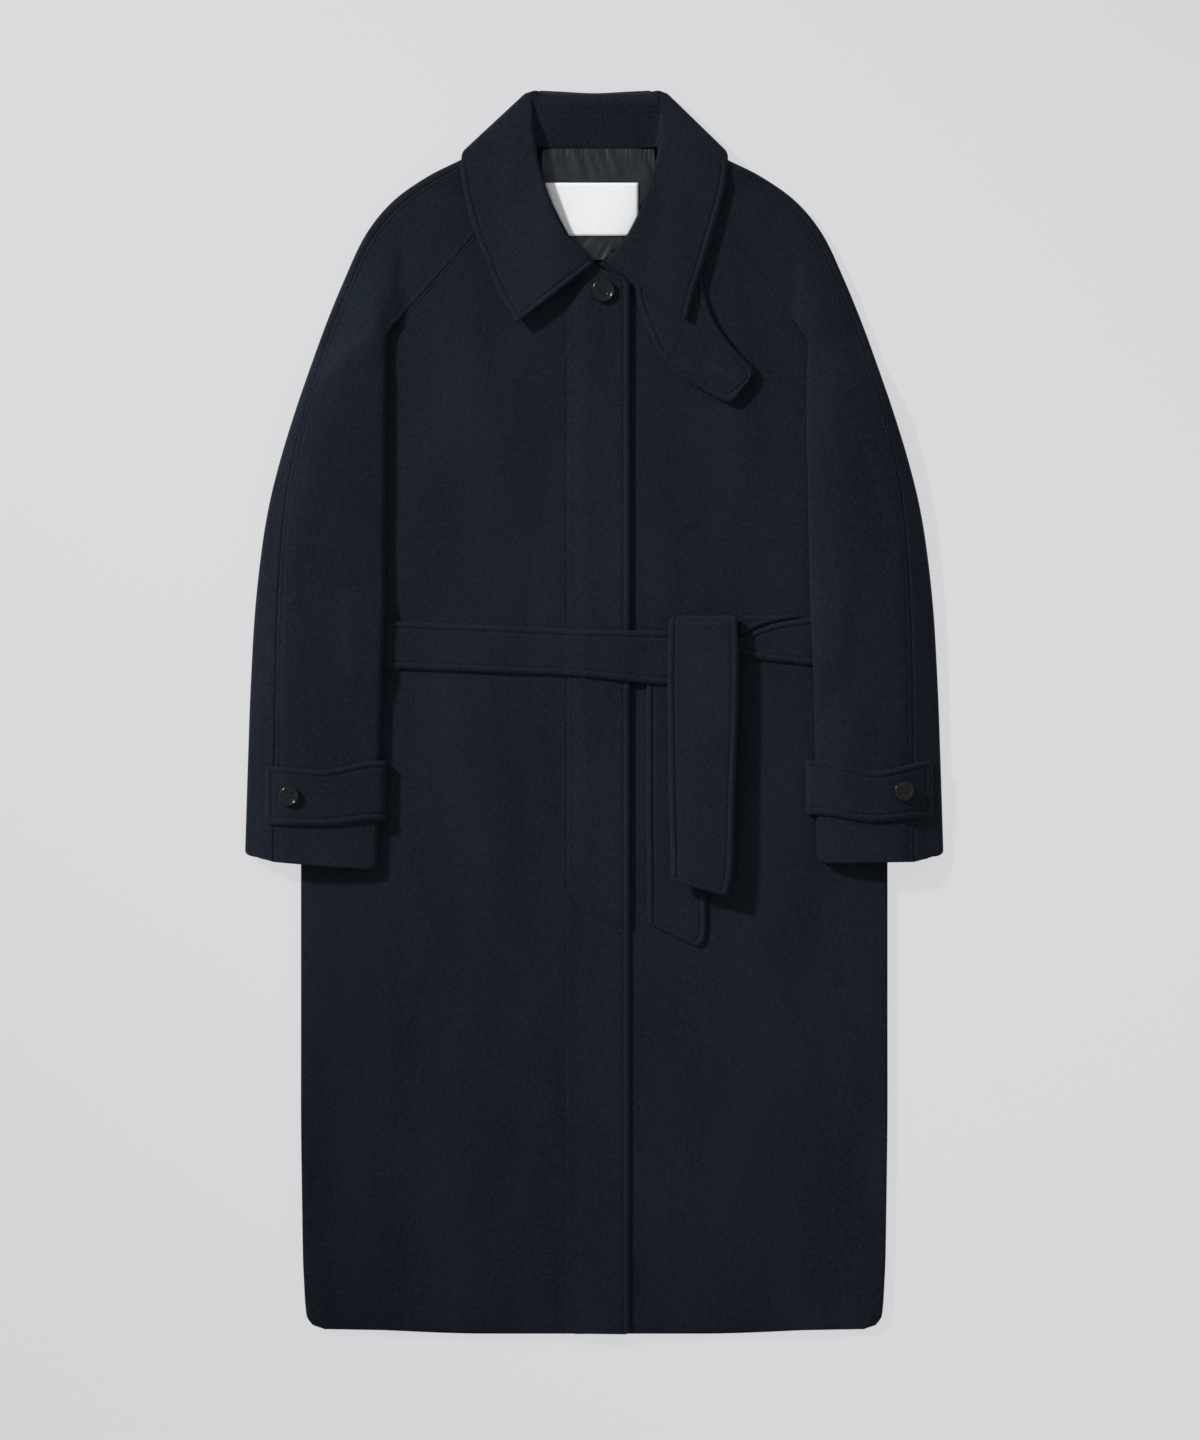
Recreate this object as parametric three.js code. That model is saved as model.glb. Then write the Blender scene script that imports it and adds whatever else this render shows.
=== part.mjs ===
// A belted balmacaan coat in heavy navy wool, buttoned at the neck and laid flat on its back.
// Millimetres. x runs to the viewer's right, y toward the collar, z up from the surface it lies on.
// "Right" and "left" in the names are the wearer's, so the right sleeve lies at negative x.
import * as THREE from 'three';

// Driving sizes
const WOOL = 3; // one layer of wool with its lining
const BELT_CLOTH = 3.4; // the belt and the tabs are turned double
const SEAM_GAP = 0.3;
const TUBE = 9.4; // a flattened sleeve from outside to outside
const BODY_TOP = 8.7; // outer face of the fronts above the floor
const SIDE_EDGE_TOP = 6.8; // where a front comes down on the back along the side and the hem
const SIDE_ROUND = 14;
const HEM_ROUND = 12;
const SLEEVE_CROWN = 10; // the upper side of a sleeve arches this much between its folds
const CROWN_REACH = 55; // and reaches it this far in from either fold
const SEAM_DIP = 1; // the cloth rolls down this much into a seam
const SEAM_ROLL = 4.5;
const FRONT_EDGE_X = 36; // free edge of the right front, which lies on top
const UNDER_EDGE_X = -19; // hidden edge of the left front
const FLY_STITCH_X = -27;
const FLY_RISE = 4.5; // the fly's layers lift the right front
const OVERLAP_RISE = 2.5; // below the fly only the left front lifts it
const FLY_CURVE_Y = -172; // from here the fly's stitching curves across to the free edge
const FLY_CURVE_REACH = 52;
const FLY_END_Y = -216;
const UNDER_TOP = 7.2; // outer face of the left front where it is covered
const NECK_SEAM_Y = 564;
const COLLAR_LIFT = 3.4; // the coat lies on the back of the collar here
const COLLAR_LIFT_RAMP = 22;
const COLLAR_LIFT_MARGIN = 14;
const REST = 0.5; // clearance of a piece that lies on another
const TAB_REST = 0.7;
const BUTTON_REST = 0.8;
const RIM = 0.7; // a turned edge of the belt or a tab is this much thinner on its face
const FALL_RIM = 0.8;
const FALL_CROWN = 1.2; // the collar's leaves arch by this between the roll line and the edge

// Raglan seams, from the neck to the start of the underarm crease
const RAGLAN = {
  right: { points: [{ out: 61, y: 543 }, { out: 204, y: 381 }], steps: [6] },
  left: {
    points: [{ out: 61, y: 543 }, { out: 128, y: 487 }, { out: 165, y: 442 }, { out: 212, y: 373 }],
    steps: [2, 2, 2],
  },
};
const RAGLAN_STEPS = 6;

// Outer fold of a sleeve and its seam over the arm, one row for each station from neck to cuff
const SLEEVE = [
  { foldOut: 67, foldY: 587, seamOut: 66, seamY: 581 },
  { foldOut: 97, foldY: 571, seamOut: 95, seamY: 565 },
  { foldOut: 131, foldY: 553, seamOut: 128, seamY: 547 },
  { foldOut: 167, foldY: 535, seamOut: 161, seamY: 530 },
  { foldOut: 201, foldY: 511, seamOut: 194, seamY: 506 },
  { foldOut: 228, foldY: 478, seamOut: 221, seamY: 474 },
  { foldOut: 249, foldY: 434, seamOut: 242, seamY: 431 },
  { foldOut: 271, foldY: 380, seamOut: 264, seamY: 377 },
  { foldOut: 294, foldY: 314, seamOut: 285, seamY: 312 },
  { foldOut: 314, foldY: 250, seamOut: 301, seamY: 249 },
  { foldOut: 328, foldY: 190, seamOut: 310, seamY: 189 },
  { foldOut: 338, foldY: 112, seamOut: 315, seamY: 111 },
  { foldOut: 343, foldY: 32, seamOut: 317, seamY: 31 },
  { foldOut: 346, foldY: -48, seamOut: 318, seamY: -50 },
  { foldOut: 349, foldY: -144, seamOut: 319, seamY: -149 },
];

// Inner fold of each sleeve, for the stations below the raglan seam
const INNER_FOLD = {
  right: [
    { out: 207, y: 340 }, { out: 208, y: 287 }, { out: 208, y: 232 }, { out: 209, y: 177 },
    { out: 209, y: 102 }, { out: 212, y: 26 }, { out: 214, y: -54 }, { out: 216, y: -157 },
  ],
  left: [
    { out: 212, y: 337 }, { out: 212, y: 287 }, { out: 213, y: 232 }, { out: 214, y: 177 },
    { out: 216, y: 95 }, { out: 219, y: 26 }, { out: 221, y: -52 }, { out: 222, y: -150 },
  ],
};

// Side of the body from the underarm to the hem, half widths from the middle line
const SIDE = [
  { y: 346, half: 240 }, { y: 310, half: 274 }, { y: 242, half: 285 }, { y: 152, half: 291 },
  { y: 72, half: 293 }, { y: -8, half: 293 }, { y: -88, half: 293 }, { y: -168, half: 293 },
  { y: -248, half: 293 }, { y: -328, half: 293 }, { y: -408, half: 293 }, { y: -488, half: 292 },
  { y: -548, half: 291 }, { y: -588, half: 289 }, { y: -604, half: 287 }, { y: -612, half: 281 },
  { y: -616, half: 270 },
];
const HEM_SAG = 5; // the hem lies lower in the middle than at its corners

// Free edge of each front from its neck corner down, for the rows on the raglan seam
const NECKLINE = {
  right: [
    { x: -59, y: 537 }, { x: -48, y: 507 }, { x: -29, y: 472 }, { x: 5, y: 444 },
    { x: FRONT_EDGE_X, y: 428 }, { x: FRONT_EDGE_X, y: 404 }, { x: FRONT_EDGE_X, y: 375 },
  ],
  left: [
    { x: 59, y: 537 }, { x: 48, y: 507 }, { x: 29, y: 472 }, { x: 4, y: 447 },
    { x: UNDER_EDGE_X, y: 430 }, { x: UNDER_EDGE_X, y: 404 }, { x: UNDER_EDGE_X, y: 371 },
  ],
};

// Soft lengthwise folds of the body: middle, half width, height, and how far up and down they reach
const BODY_FOLDS = [
  { x: -120, width: 46, height: 1.0, top: 420, bottom: -640 },
  { x: -55, width: 22, height: -0.8, top: 330, bottom: -500 },
  { x: -180, width: 26, height: -1.1, top: 240, bottom: -640 },
  { x: 92, width: 26, height: -0.9, top: 300, bottom: -640 },
  { x: 178, width: 44, height: 1.0, top: 380, bottom: -640 },
  { x: 244, width: 24, height: -0.9, top: 60, bottom: -640 },
];

// Collar fall: its roll line, its free edge and the height of its outer face there
const LEAF = {
  right: [
    { rollX: -1, rollY: 447, rollZ: 20.5, edgeX: -75, edgeY: 389, edgeZ: 22.5 },
    { rollX: -14, rollY: 463, rollZ: 21, edgeX: -86, edgeY: 407, edgeZ: 20 },
    { rollX: -27, rollY: 476, rollZ: 21.3, edgeX: -97, edgeY: 428, edgeZ: 18.5 },
    { rollX: -37, rollY: 493, rollZ: 21.3, edgeX: -109, edgeY: 458, edgeZ: 17.5 },
    { rollX: -46, rollY: 517, rollZ: 21, edgeX: -120, edgeY: 487, edgeZ: 17 },
    { rollX: -55, rollY: 546, rollZ: 20.4, edgeX: -128, edgeY: 519, edgeZ: 16.8 },
    { rollX: -61, rollY: 580, rollZ: 20.2, edgeX: -132, edgeY: 544, edgeZ: 16.6 },
  ],
  left: [
    { rollX: 12, rollY: 450, rollZ: 20.5, edgeX: 92.5, edgeY: 390, edgeZ: 22.5 },
    { rollX: 19, rollY: 459, rollZ: 21, edgeX: 98, edgeY: 411, edgeZ: 20 },
    { rollX: 31, rollY: 474, rollZ: 21.3, edgeX: 104, edgeY: 431, edgeZ: 18.5 },
    { rollX: 40, rollY: 489, rollZ: 21.3, edgeX: 112, edgeY: 456, edgeZ: 17.5 },
    { rollX: 49, rollY: 510, rollZ: 21, edgeX: 121, edgeY: 486, edgeZ: 17 },
    { rollX: 58, rollY: 538, rollZ: 20.4, edgeX: 130, edgeY: 519, edgeZ: 16.8 },
    { rollX: 67, rollY: 572, rollZ: 20.2, edgeX: 134, edgeY: 544, edgeZ: 16.6 },
  ],
};
// The fold over each shoulder, where the fall turns under the neck, and the part behind the neck
const SHOULDER_FOLD = {
  right: { rollX: -65, rollY: 619.5, rollHalf: 9.2, edgeX: -133, edgeY: 556.5, edgeHalf: 8.2 },
  left: { rollX: 69, rollY: 619.5, rollHalf: 9.2, edgeX: 136, edgeY: 556.5, edgeHalf: 8.2 },
};
const SHOULDER_FOLD_DEPTH = 4;
const COLLAR_BEHIND = [
  { rollX: -53, rollY: 619, edgeX: -114, edgeY: 548 },
  { rollX: -32, rollY: 618, edgeX: -74, edgeY: 542 },
  { rollX: 0, rollY: 616.5, edgeX: 0, edgeY: 540 },
  { rollX: 33, rollY: 618, edgeX: 77, edgeY: 542 },
  { rollX: 54, rollY: 619, edgeX: 117, edgeY: 548 },
];

// Collar stand, the middle of its cloth: neck seam below, top edge under the roll line
const STAND_CLOTH = 2.4;
const STAND_CORNER = 9; // rows of the table before the back neck seam
const STAND = [
  { neckX: 0, neckY: 449, neckZ: 14.8, topX: -3, topY: 449.5, topZ: 16.2 },
  { neckX: -11, neckY: 459, neckZ: 13, topX: -14, topY: 462.5, topZ: 16 },
  { neckX: -26, neckY: 473, neckZ: 9.6, topX: -27.5, topY: 474.5, topZ: 16.2 },
  { neckX: -36, neckY: 491, neckZ: 9.2, topX: -37.5, topY: 491, topZ: 16.2 },
  { neckX: -44.5, neckY: 508.5, neckZ: 9.2, topX: -45, topY: 508.5, topZ: 16.2 },
  { neckX: -51, neckY: 525.5, neckZ: 9.4, topX: -50, topY: 525.5, topZ: 16.2 },
  { neckX: -55.5, neckY: 540, neckZ: 10, topX: -54, topY: 540, topZ: 16 },
  { neckX: -57.5, neckY: 552, neckZ: 10.5, topX: -58, topY: 555, topZ: 15.6 },
  { neckX: -57, neckY: 561, neckZ: 9.4, topX: -61.5, topY: 575, topZ: 15.7 },
  { neckX: -54, neckY: 564.6, neckZ: 7.4, topX: -62.5, topY: 596, topZ: 12 },
  { neckX: -47, neckY: 564.4, neckZ: 5.3, topX: -60, topY: 613.5, topZ: 8.6 },
  { neckX: -34, neckY: 564.2, neckZ: 4.9, topX: -42, topY: 615, topZ: 8 },
  { neckX: 0, neckY: 564.2, neckZ: 4.9, topX: 0, topY: 614, topZ: 8 },
];

const STAND_LEFT_END = { neckX: 11, neckY: 453, neckZ: 11.5, topX: 16, topY: 454.5, topZ: 16.2 };
const LEFT_NECK_SHIFT = 1; // the left roll line lies further out than the right one
const LEFT_ROLL_SHIFT = 4.5;

// Tab for closing the throat, unbuttoned under the left leaf, from the collar to its end
const THROAT_TAB = [
  { leftX: 41, leftY: 426, rightX: 106, rightY: 449 },
  { leftX: 43, leftY: 411, rightX: 110, rightY: 422 },
  { leftX: 52, leftY: 386, rightX: 119, rightY: 393 },
  { leftX: 64, leftY: 360, rightX: 136, rightY: 367 },
  { leftX: 82, leftY: 339, rightX: 150, rightY: 352 },
  { leftX: 106, leftY: 323, rightX: 158, rightY: 344 },
  { leftX: 130, leftY: 310, rightX: 158, rightY: 337 },
  { leftX: 138, leftY: 308.5, rightX: 152, rightY: 328 },
];

// Belt, stretch by stretch. Where it lies across the coat a row is a cut at one x.
const BELT_RIGHT = [
  { x: -236, top: 94, bottom: 46 },
  { x: -213, top: 92, bottom: 44 },
  { x: -150, top: 89, bottom: 41.5 },
  { x: -90, top: 86.5, bottom: 39 },
  { x: -45, top: 84.5, bottom: 37.5 },
  { x: -24, top: 83.5, bottom: 36.5 },
  { x: -10, top: 83, bottom: 35.5 },
  { x: 34, top: 82, bottom: 31 },
  { x: 50, top: 81.5, bottom: 29 },
  { x: 84, top: 81, bottom: 27 },
  { x: 121, top: 80, bottom: 26 },
];
const BELT_LEFT = [
  { x: 128, top: 73, bottom: 61 },
  { x: 146, top: 75.5, bottom: 58 },
  { x: 156, top: 80, bottom: 55.5 },
  { x: 168, top: 85, bottom: 52.5 },
  { x: 184, top: 90, bottom: 50.5 },
  { x: 218, top: 95, bottom: 47 },
  { x: 242, top: 96, bottom: 46 },
];
const BELT_KNOT = [
  { x: 145.5, top: 97, bottom: 77 },
  { x: 156, top: 97, bottom: 81.5 },
  { x: 168, top: 97, bottom: 86.5 },
  { x: 184, top: 97, bottom: 91.5 },
  { x: 204, top: 97, bottom: 94.5 },
];
// The two hanging ends. A row is a cut at one height, and the last row is the slanted end.
const BELT_END_REAR = [
  { leftX: 52, leftY: 68, rightX: 111, rightY: 68 },
  { leftX: 52, leftY: 27, rightX: 111, rightY: 27 },
  { leftX: 52, leftY: -40, rightX: 111, rightY: -40 },
  { leftX: 52, leftY: -110, rightX: 112, rightY: -110 },
  { leftX: 53, leftY: -170, rightX: 112, rightY: -180 },
  { leftX: 53, leftY: -200, rightX: 112, rightY: -222 },
  { leftX: 54, leftY: -211, rightX: 104, rightY: -235 },
];
const BELT_END_FRONT = [
  { leftX: 74, leftY: 84, rightX: 143, rightY: 84, z: 20 },
  { leftX: 73, leftY: 45, rightX: 144, rightY: 45, z: 20.3 },
  { leftX: 73.5, leftY: -20, rightX: 142.5, rightY: -20, z: 21.3 },
  { leftX: 74.5, leftY: -90, rightX: 140, rightY: -90, z: 22.8 },
  { leftX: 76, leftY: -140, rightX: 138.5, rightY: -150, z: 24.4 },
  { leftX: 76, leftY: -167, rightX: 133, rightY: -184, z: 25.2 },
];
const KNOT_ROLL = 7.1; // radius of the front end where it turns over the belt
const BELT_SPACE = 4; // room that the belt takes under a sleeve
const BELT_UNDER_SLEEVE = { top: 128, bottom: 12, blend: 30, reach: 262, taper: 22 };
const ON_BODY = 9.8; // underside of a sleeve where it lies on the body
const CREASE_RIDGE = { up: 95, across: 16 }; // the sleeve rises to the body above its crease
const BODY_SLOPE = 34; // a sleeve comes down to the floor over this width
const BODY_MARGIN = 14; // and starts to come down this far beside the body
const KNOT_HEIGHT = 12.9; // the rear end carries the belt here

// Cuff tabs: outer end, and the two long edges at the outer end, in the middle and at the fold
const TAB_CORNER = 5;
const CUFF_TAB = {
  right: { end: 328, topY: [-54, -61, -50], bottomY: [-112, -110, -107], slack: 0.6 },
  left: { end: 338, topY: [-52, -60, -48], bottomY: [-106, -110, -101], slack: 4 },
};

const BUTTON = { neckRadius: 11.5, cuffRadius: 10, thick: 4, rim: 2.2, dish: 0.9 };
const NECK_BUTTON = { x: 9, y: 421 };
const CUFF_BUTTON = { right: { x: -304.5, y: -83 }, left: { x: 310, y: -78 } };

const LINING = 1;
const LINING_TOP = COLLAR_LIFT + WOOL + REST + LINING;
const LINING_PATCH = [
  { y: 562.6, left: -46, right: 46 },
  { y: 548, left: -52, right: 52 },
  { y: 534, left: -51.5, right: 51.5 },
  { y: 508, left: -41, right: 41 },
  { y: 480, left: -27, right: 27 },
  { y: 462, left: -14.5, right: 17 },
  { y: 452, left: -2, right: 7.5 },
];
const LABEL = { left: -49, right: 44, top: 529, bottom: 476, thick: 1 };

const COLOURS = { wool: 0x1e222b, lining: 0x2b2f33, label: 0xebecee, horn: 0x212327 };

// Small helpers
const mix = (a, b, t) => a + (b - a) * t;
const clamp01 = (t) => Math.min(1, Math.max(0, t));
const ease = (t) => clamp01(t) ** 2 * (3 - 2 * clamp01(t));
const point = (x, y, z) => new THREE.Vector3(x, y, z);

// One column of a table at a value of its key, straight between the rows
function read(table, key, column, at) {
  const rising = table[table.length - 1][key] > table[0][key];
  let i = 0;
  while (i < table.length - 2 && (rising ? table[i + 1][key] < at : table[i + 1][key] > at)) i += 1;
  const t = clamp01((at - table[i][key]) / (table[i + 1][key] - table[i][key]));
  return mix(table[i][column], table[i + 1][column], t);
}

// A smooth curve through one column of a table, at a row number that may lie between two rows
function smooth(table, column, row) {
  const i = Math.min(table.length - 2, Math.floor(row));
  const value = (k) => table[Math.min(table.length - 1, Math.max(0, k))][column];
  const t = row - i;
  const before = (value(i + 1) - value(i - 1)) / 2;
  const after = (value(i + 2) - value(i)) / 2;
  const rise = value(i + 1) - value(i);
  return value(i) + t * (before + t * (3 * rise - 2 * before - after + t * (before + after - 2 * rise)));
}

// A closed solid between two grids of points with the same rows and columns
function clothSolid(face, back) {
  const rows = face.length;
  const columns = face[0].length;
  const positions = [];
  for (const grid of [face, back]) {
    for (const line of grid) line.forEach((p) => positions.push(p.x, p.y, p.z));
  }
  const id = (side, r, c) => (side * rows + r) * columns + c;
  const triangles = [];
  const quad = (a, b, c, d) => triangles.push(a, b, c, a, c, d);
  for (let r = 0; r < rows - 1; r += 1) {
    for (let c = 0; c < columns - 1; c += 1) {
      quad(id(0, r, c), id(0, r, c + 1), id(0, r + 1, c + 1), id(0, r + 1, c));
      quad(id(1, r, c), id(1, r + 1, c), id(1, r + 1, c + 1), id(1, r, c + 1));
    }
    quad(id(0, r, 0), id(0, r + 1, 0), id(1, r + 1, 0), id(1, r, 0));
    const last = columns - 1;
    quad(id(0, r, last), id(1, r, last), id(1, r + 1, last), id(0, r + 1, last));
  }
  for (let c = 0; c < columns - 1; c += 1) {
    quad(id(0, 0, c), id(1, 0, c), id(1, 0, c + 1), id(0, 0, c + 1));
    const last = rows - 1;
    quad(id(0, last, c), id(0, last, c + 1), id(1, last, c + 1), id(1, last, c));
  }
  const geometry = new THREE.BufferGeometry();
  geometry.setAttribute('position', new THREE.Float32BufferAttribute(positions, 3));
  geometry.setIndex(volume(positions, triangles) < 0 ? triangles.reverse() : triangles);
  return geometry;
}

function volume(positions, triangles) {
  const at = (i) => point(positions[3 * i], positions[3 * i + 1], positions[3 * i + 2]);
  let total = 0;
  for (let i = 0; i < triangles.length; i += 3) {
    total += at(triangles[i]).dot(at(triangles[i + 1]).cross(at(triangles[i + 2])));
  }
  return total / 6;
}

// The back of a sheet that lies nearly level
const under = (face, thickness) => face.map((line) => line.map((p) => point(p.x, p.y, p.z - thickness)));

// Both faces of a sheet that stands at any slope, half its thickness to each side of the grid
function bothFaces(grid, thickness) {
  const clampIndex = (i, n) => Math.min(n - 1, Math.max(0, i));
  const normal = (r, c) => {
    const rows = grid.length;
    const columns = grid[0].length;
    const along = grid[clampIndex(r + 1, rows)][c].clone().sub(grid[clampIndex(r - 1, rows)][c]);
    const across = grid[r][clampIndex(c + 1, columns)].clone().sub(grid[r][clampIndex(c - 1, columns)]);
    return along.cross(across).normalize();
  };
  const move = (sign) => grid.map((line, r) => line.map((p, c) => (
    p.clone().addScaledVector(normal(r, c), (sign * thickness) / 2))));
  return [move(1), move(-1)];
}

// How far the coat is lifted where it lies on the back of the collar
function collarLift(x, y) {
  const edge = mix(540, 556, ease((Math.abs(x) - 60) / 76));
  return COLLAR_LIFT * ease((y - edge + COLLAR_LIFT_RAMP + COLLAR_LIFT_MARGIN) / COLLAR_LIFT_RAMP);
}

function bodyFolds(x, y) {
  let height = 0;
  for (const fold of BODY_FOLDS) {
    const across = Math.exp(-(((x - fold.x) / fold.width) ** 2));
    height += fold.height * across * ease((fold.top - y) / 160) * ease((y - fold.bottom) / 60);
  }
  return height;
}

const sideHalf = (y) => read(SIDE, 'y', 'half', y);
const hemY = (x) => SIDE[SIDE.length - 1].y - HEM_SAG * ease((300 - Math.abs(x)) / 260);

// Outer face of the body before the fronts overlap
function bodyTop(x, y) {
  const open = BODY_TOP + bodyFolds(x, y) + 0.5 * ease((y - 250) / 150);
  const fromSide = y < SIDE[0].y ? sideHalf(y) - Math.abs(x) : SIDE_ROUND;
  const inward = Math.min(clamp01(fromSide / SIDE_ROUND), clamp01((y - hemY(x)) / HEM_ROUND));
  const rounded = Math.sqrt(1 - (1 - inward) ** 2);
  return mix(SIDE_EDGE_TOP, open, rounded) + collarLift(x, y);
}

// The left front passes under the right one at the middle
function leftFrontTop(x, y) {
  const open = bodyTop(x, y);
  const covered = Math.min(mix(6.5, UNDER_TOP, ease((x - UNDER_EDGE_X) / 14)) + collarLift(x, y), open);
  return mix(covered, open, ease((x - 22) / 40));
}

function rightFrontTop(x, y) {
  const shift = Math.max(0, (FLY_CURVE_Y - y) / (FLY_CURVE_Y - FLY_END_Y)) ** 2 * FLY_CURVE_REACH;
  const fly = FLY_RISE * ease((x - (FLY_STITCH_X - 4) - shift) / 24) * (y > FLY_END_Y ? 1 : 0);
  const overlap = OVERLAP_RISE * ease((x - (UNDER_EDGE_X - 6)) / 20);
  const neck = ease((x + 34) / 20) * ease((470 - y) / 20);
  const raised = bodyTop(x, y) + Math.max(fly, overlap) * Math.max(neck, ease((430 - y) / 10));
  return x > UNDER_EDGE_X - 8 ? Math.max(raised, leftFrontTop(x, y) + WOOL + REST) : raised;
}

// Whichever front shows
const frontTop = (x, y) => (x < FRONT_EDGE_X ? rightFrontTop(x, y) : leftFrontTop(x, y));

// The points that the raglan seam shares between a sleeve, a front and the back
function raglan(side) {
  const { points, steps } = RAGLAN[side];
  const found = [];
  steps.forEach((count, i) => {
    const [from, to] = points.slice(i, i + 2);
    for (let k = 0; k < count; k += 1) {
      found.push({ out: mix(from.out, to.out, k / count), y: mix(from.y, to.y, k / count) });
    }
  });
  return [...found, points[points.length - 1]];
}

// What a sleeve lies on: the floor beside the body, the body, and the belt
function sleeveFloor(side, x, y) {
  const out = Math.abs(x);
  const crease = RAGLAN[side].points[RAGLAN[side].points.length - 1];
  const edges = [{ y: crease.y, half: crease.out }, ...SIDE];
  const bodyEdge = y < crease.y ? read(edges, 'y', 'half', y) : crease.out;
  const onBody = clamp01((bodyEdge - out + BODY_SLOPE + BODY_MARGIN) / BODY_SLOPE);
  const { up, across } = CREASE_RIDGE;
  const aboveCrease = ease((crease.y + up - y) / up) * ease((across - (crease.out - 2 - out)) / across);
  const shown = y < crease.y ? 1 : aboveCrease;
  const { top, bottom, blend, reach, taper } = BELT_UNDER_SLEEVE;
  const belt = ease((y - bottom) / blend) * ease((top - y) / blend) * ease((reach - out) / taper);
  return collarLift(x, y) + (ON_BODY + BELT_SPACE * belt) * onBody * shown;
}

// The arch of a sleeve's upper side between its two folds
function sleeveCrown(side, x, y) {
  const folds = [...raglan(side), ...INNER_FOLD[side]];
  const fromInner = Math.abs(x) - read(folds, 'y', 'out', y);
  const fromOuter = read(SLEEVE, 'foldY', 'foldOut', y) - Math.abs(x);
  const swell = (d) => 1 - (1 - clamp01(d / CROWN_REACH)) ** 2;
  return SLEEVE_CROWN * swell(fromInner) * swell(fromOuter) * ease((500 - y) / 160);
}

// The rows of a sleeve: outer fold, seam over the arm and inner edge, with extra rows between
const SLEEVE_SPLIT = 2;
const FRONT_HALF_STEPS = 7;
const BACK_HALF_STEPS = 6;
function sleeveRows(side) {
  const sign = side === 'right' ? -1 : 1;
  const inner = [...raglan(side), ...INNER_FOLD[side]];
  const rows = [];
  const last = SLEEVE.length - 1;
  for (let k = 0; k <= last * SLEEVE_SPLIT; k += 1) {
    const row = k / SLEEVE_SPLIT;
    const i = Math.min(last - 1, Math.floor(row));
    const onSeam = row <= RAGLAN_STEPS;
    const innerOut = onSeam ? mix(inner[i].out, inner[i + 1].out, row - i) : smooth(inner, 'out', row);
    const innerY = mix(inner[i].y, inner[i + 1].y, row - i);
    rows.push({
      fold: new THREE.Vector2(sign * smooth(SLEEVE, 'foldOut', row), smooth(SLEEVE, 'foldY', row)),
      seam: new THREE.Vector2(sign * smooth(SLEEVE, 'seamOut', row), smooth(SLEEVE, 'seamY', row)),
      inner: new THREE.Vector2(sign * innerOut, innerY),
      rolled: ease((row - RAGLAN_STEPS + 0.5) / 1),
    });
  }
  return rows;
}

// Front half of a sleeve: one sheet from the seam over the arm to the raglan seam or the inner fold
function sleeveFront(side) {
  const face = [];
  const back = [];
  for (const row of sleeveRows(side)) {
    const across = row.inner.clone().sub(row.seam);
    const width = across.length() - SEAM_GAP;
    const way = across.normalize();
    const start = row.seam.clone().addScaledVector(way, SEAM_GAP / 2);
    const roll = Math.min(mix(SEAM_ROLL, TUBE / 2, row.rolled), width / 4);
    const faceLine = [];
    const backLine = [];
    const add = (distance, top, bottom, backDistance = distance) => {
      const p = start.clone().addScaledVector(way, distance);
      const q = start.clone().addScaledVector(way, backDistance);
      const crown = sleeveCrown(side, p.x, p.y);
      faceLine.push(point(p.x, p.y, sleeveFloor(side, p.x, p.y) + crown + top));
      backLine.push(point(q.x, q.y, sleeveFloor(side, q.x, q.y) + crown + bottom));
    };
    add(0, TUBE - SEAM_DIP, TUBE - WOOL);
    add(SEAM_ROLL / 2, TUBE - SEAM_DIP * 0.25, TUBE - WOOL);
    const flat = width - roll - SEAM_ROLL;
    for (let i = 0; i <= FRONT_HALF_STEPS; i += 1) {
      add(SEAM_ROLL + (flat * i) / FRONT_HALF_STEPS, TUBE, TUBE - WOOL);
    }
    const rollStart = width - roll;
    for (const angle of [30, 60, 88]) {
      const turn = THREE.MathUtils.degToRad(angle);
      const down = 1 - Math.cos(turn);
      const drop = mix(SEAM_DIP, TUBE / 2 - SEAM_GAP, row.rolled) * down;
      const inside = mix(roll, roll - WOOL, row.rolled) * Math.sin(turn);
      const insideDrop = mix(0, TUBE / 2 - WOOL - SEAM_GAP, row.rolled) * down;
      const reach = roll * Math.sin(turn);
      add(rollStart + reach, TUBE - drop, TUBE - WOOL - insideDrop, rollStart + inside);
    }
    face.push(faceLine);
    back.push(backLine);
  }
  return clothSolid(face, back);
}

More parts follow.
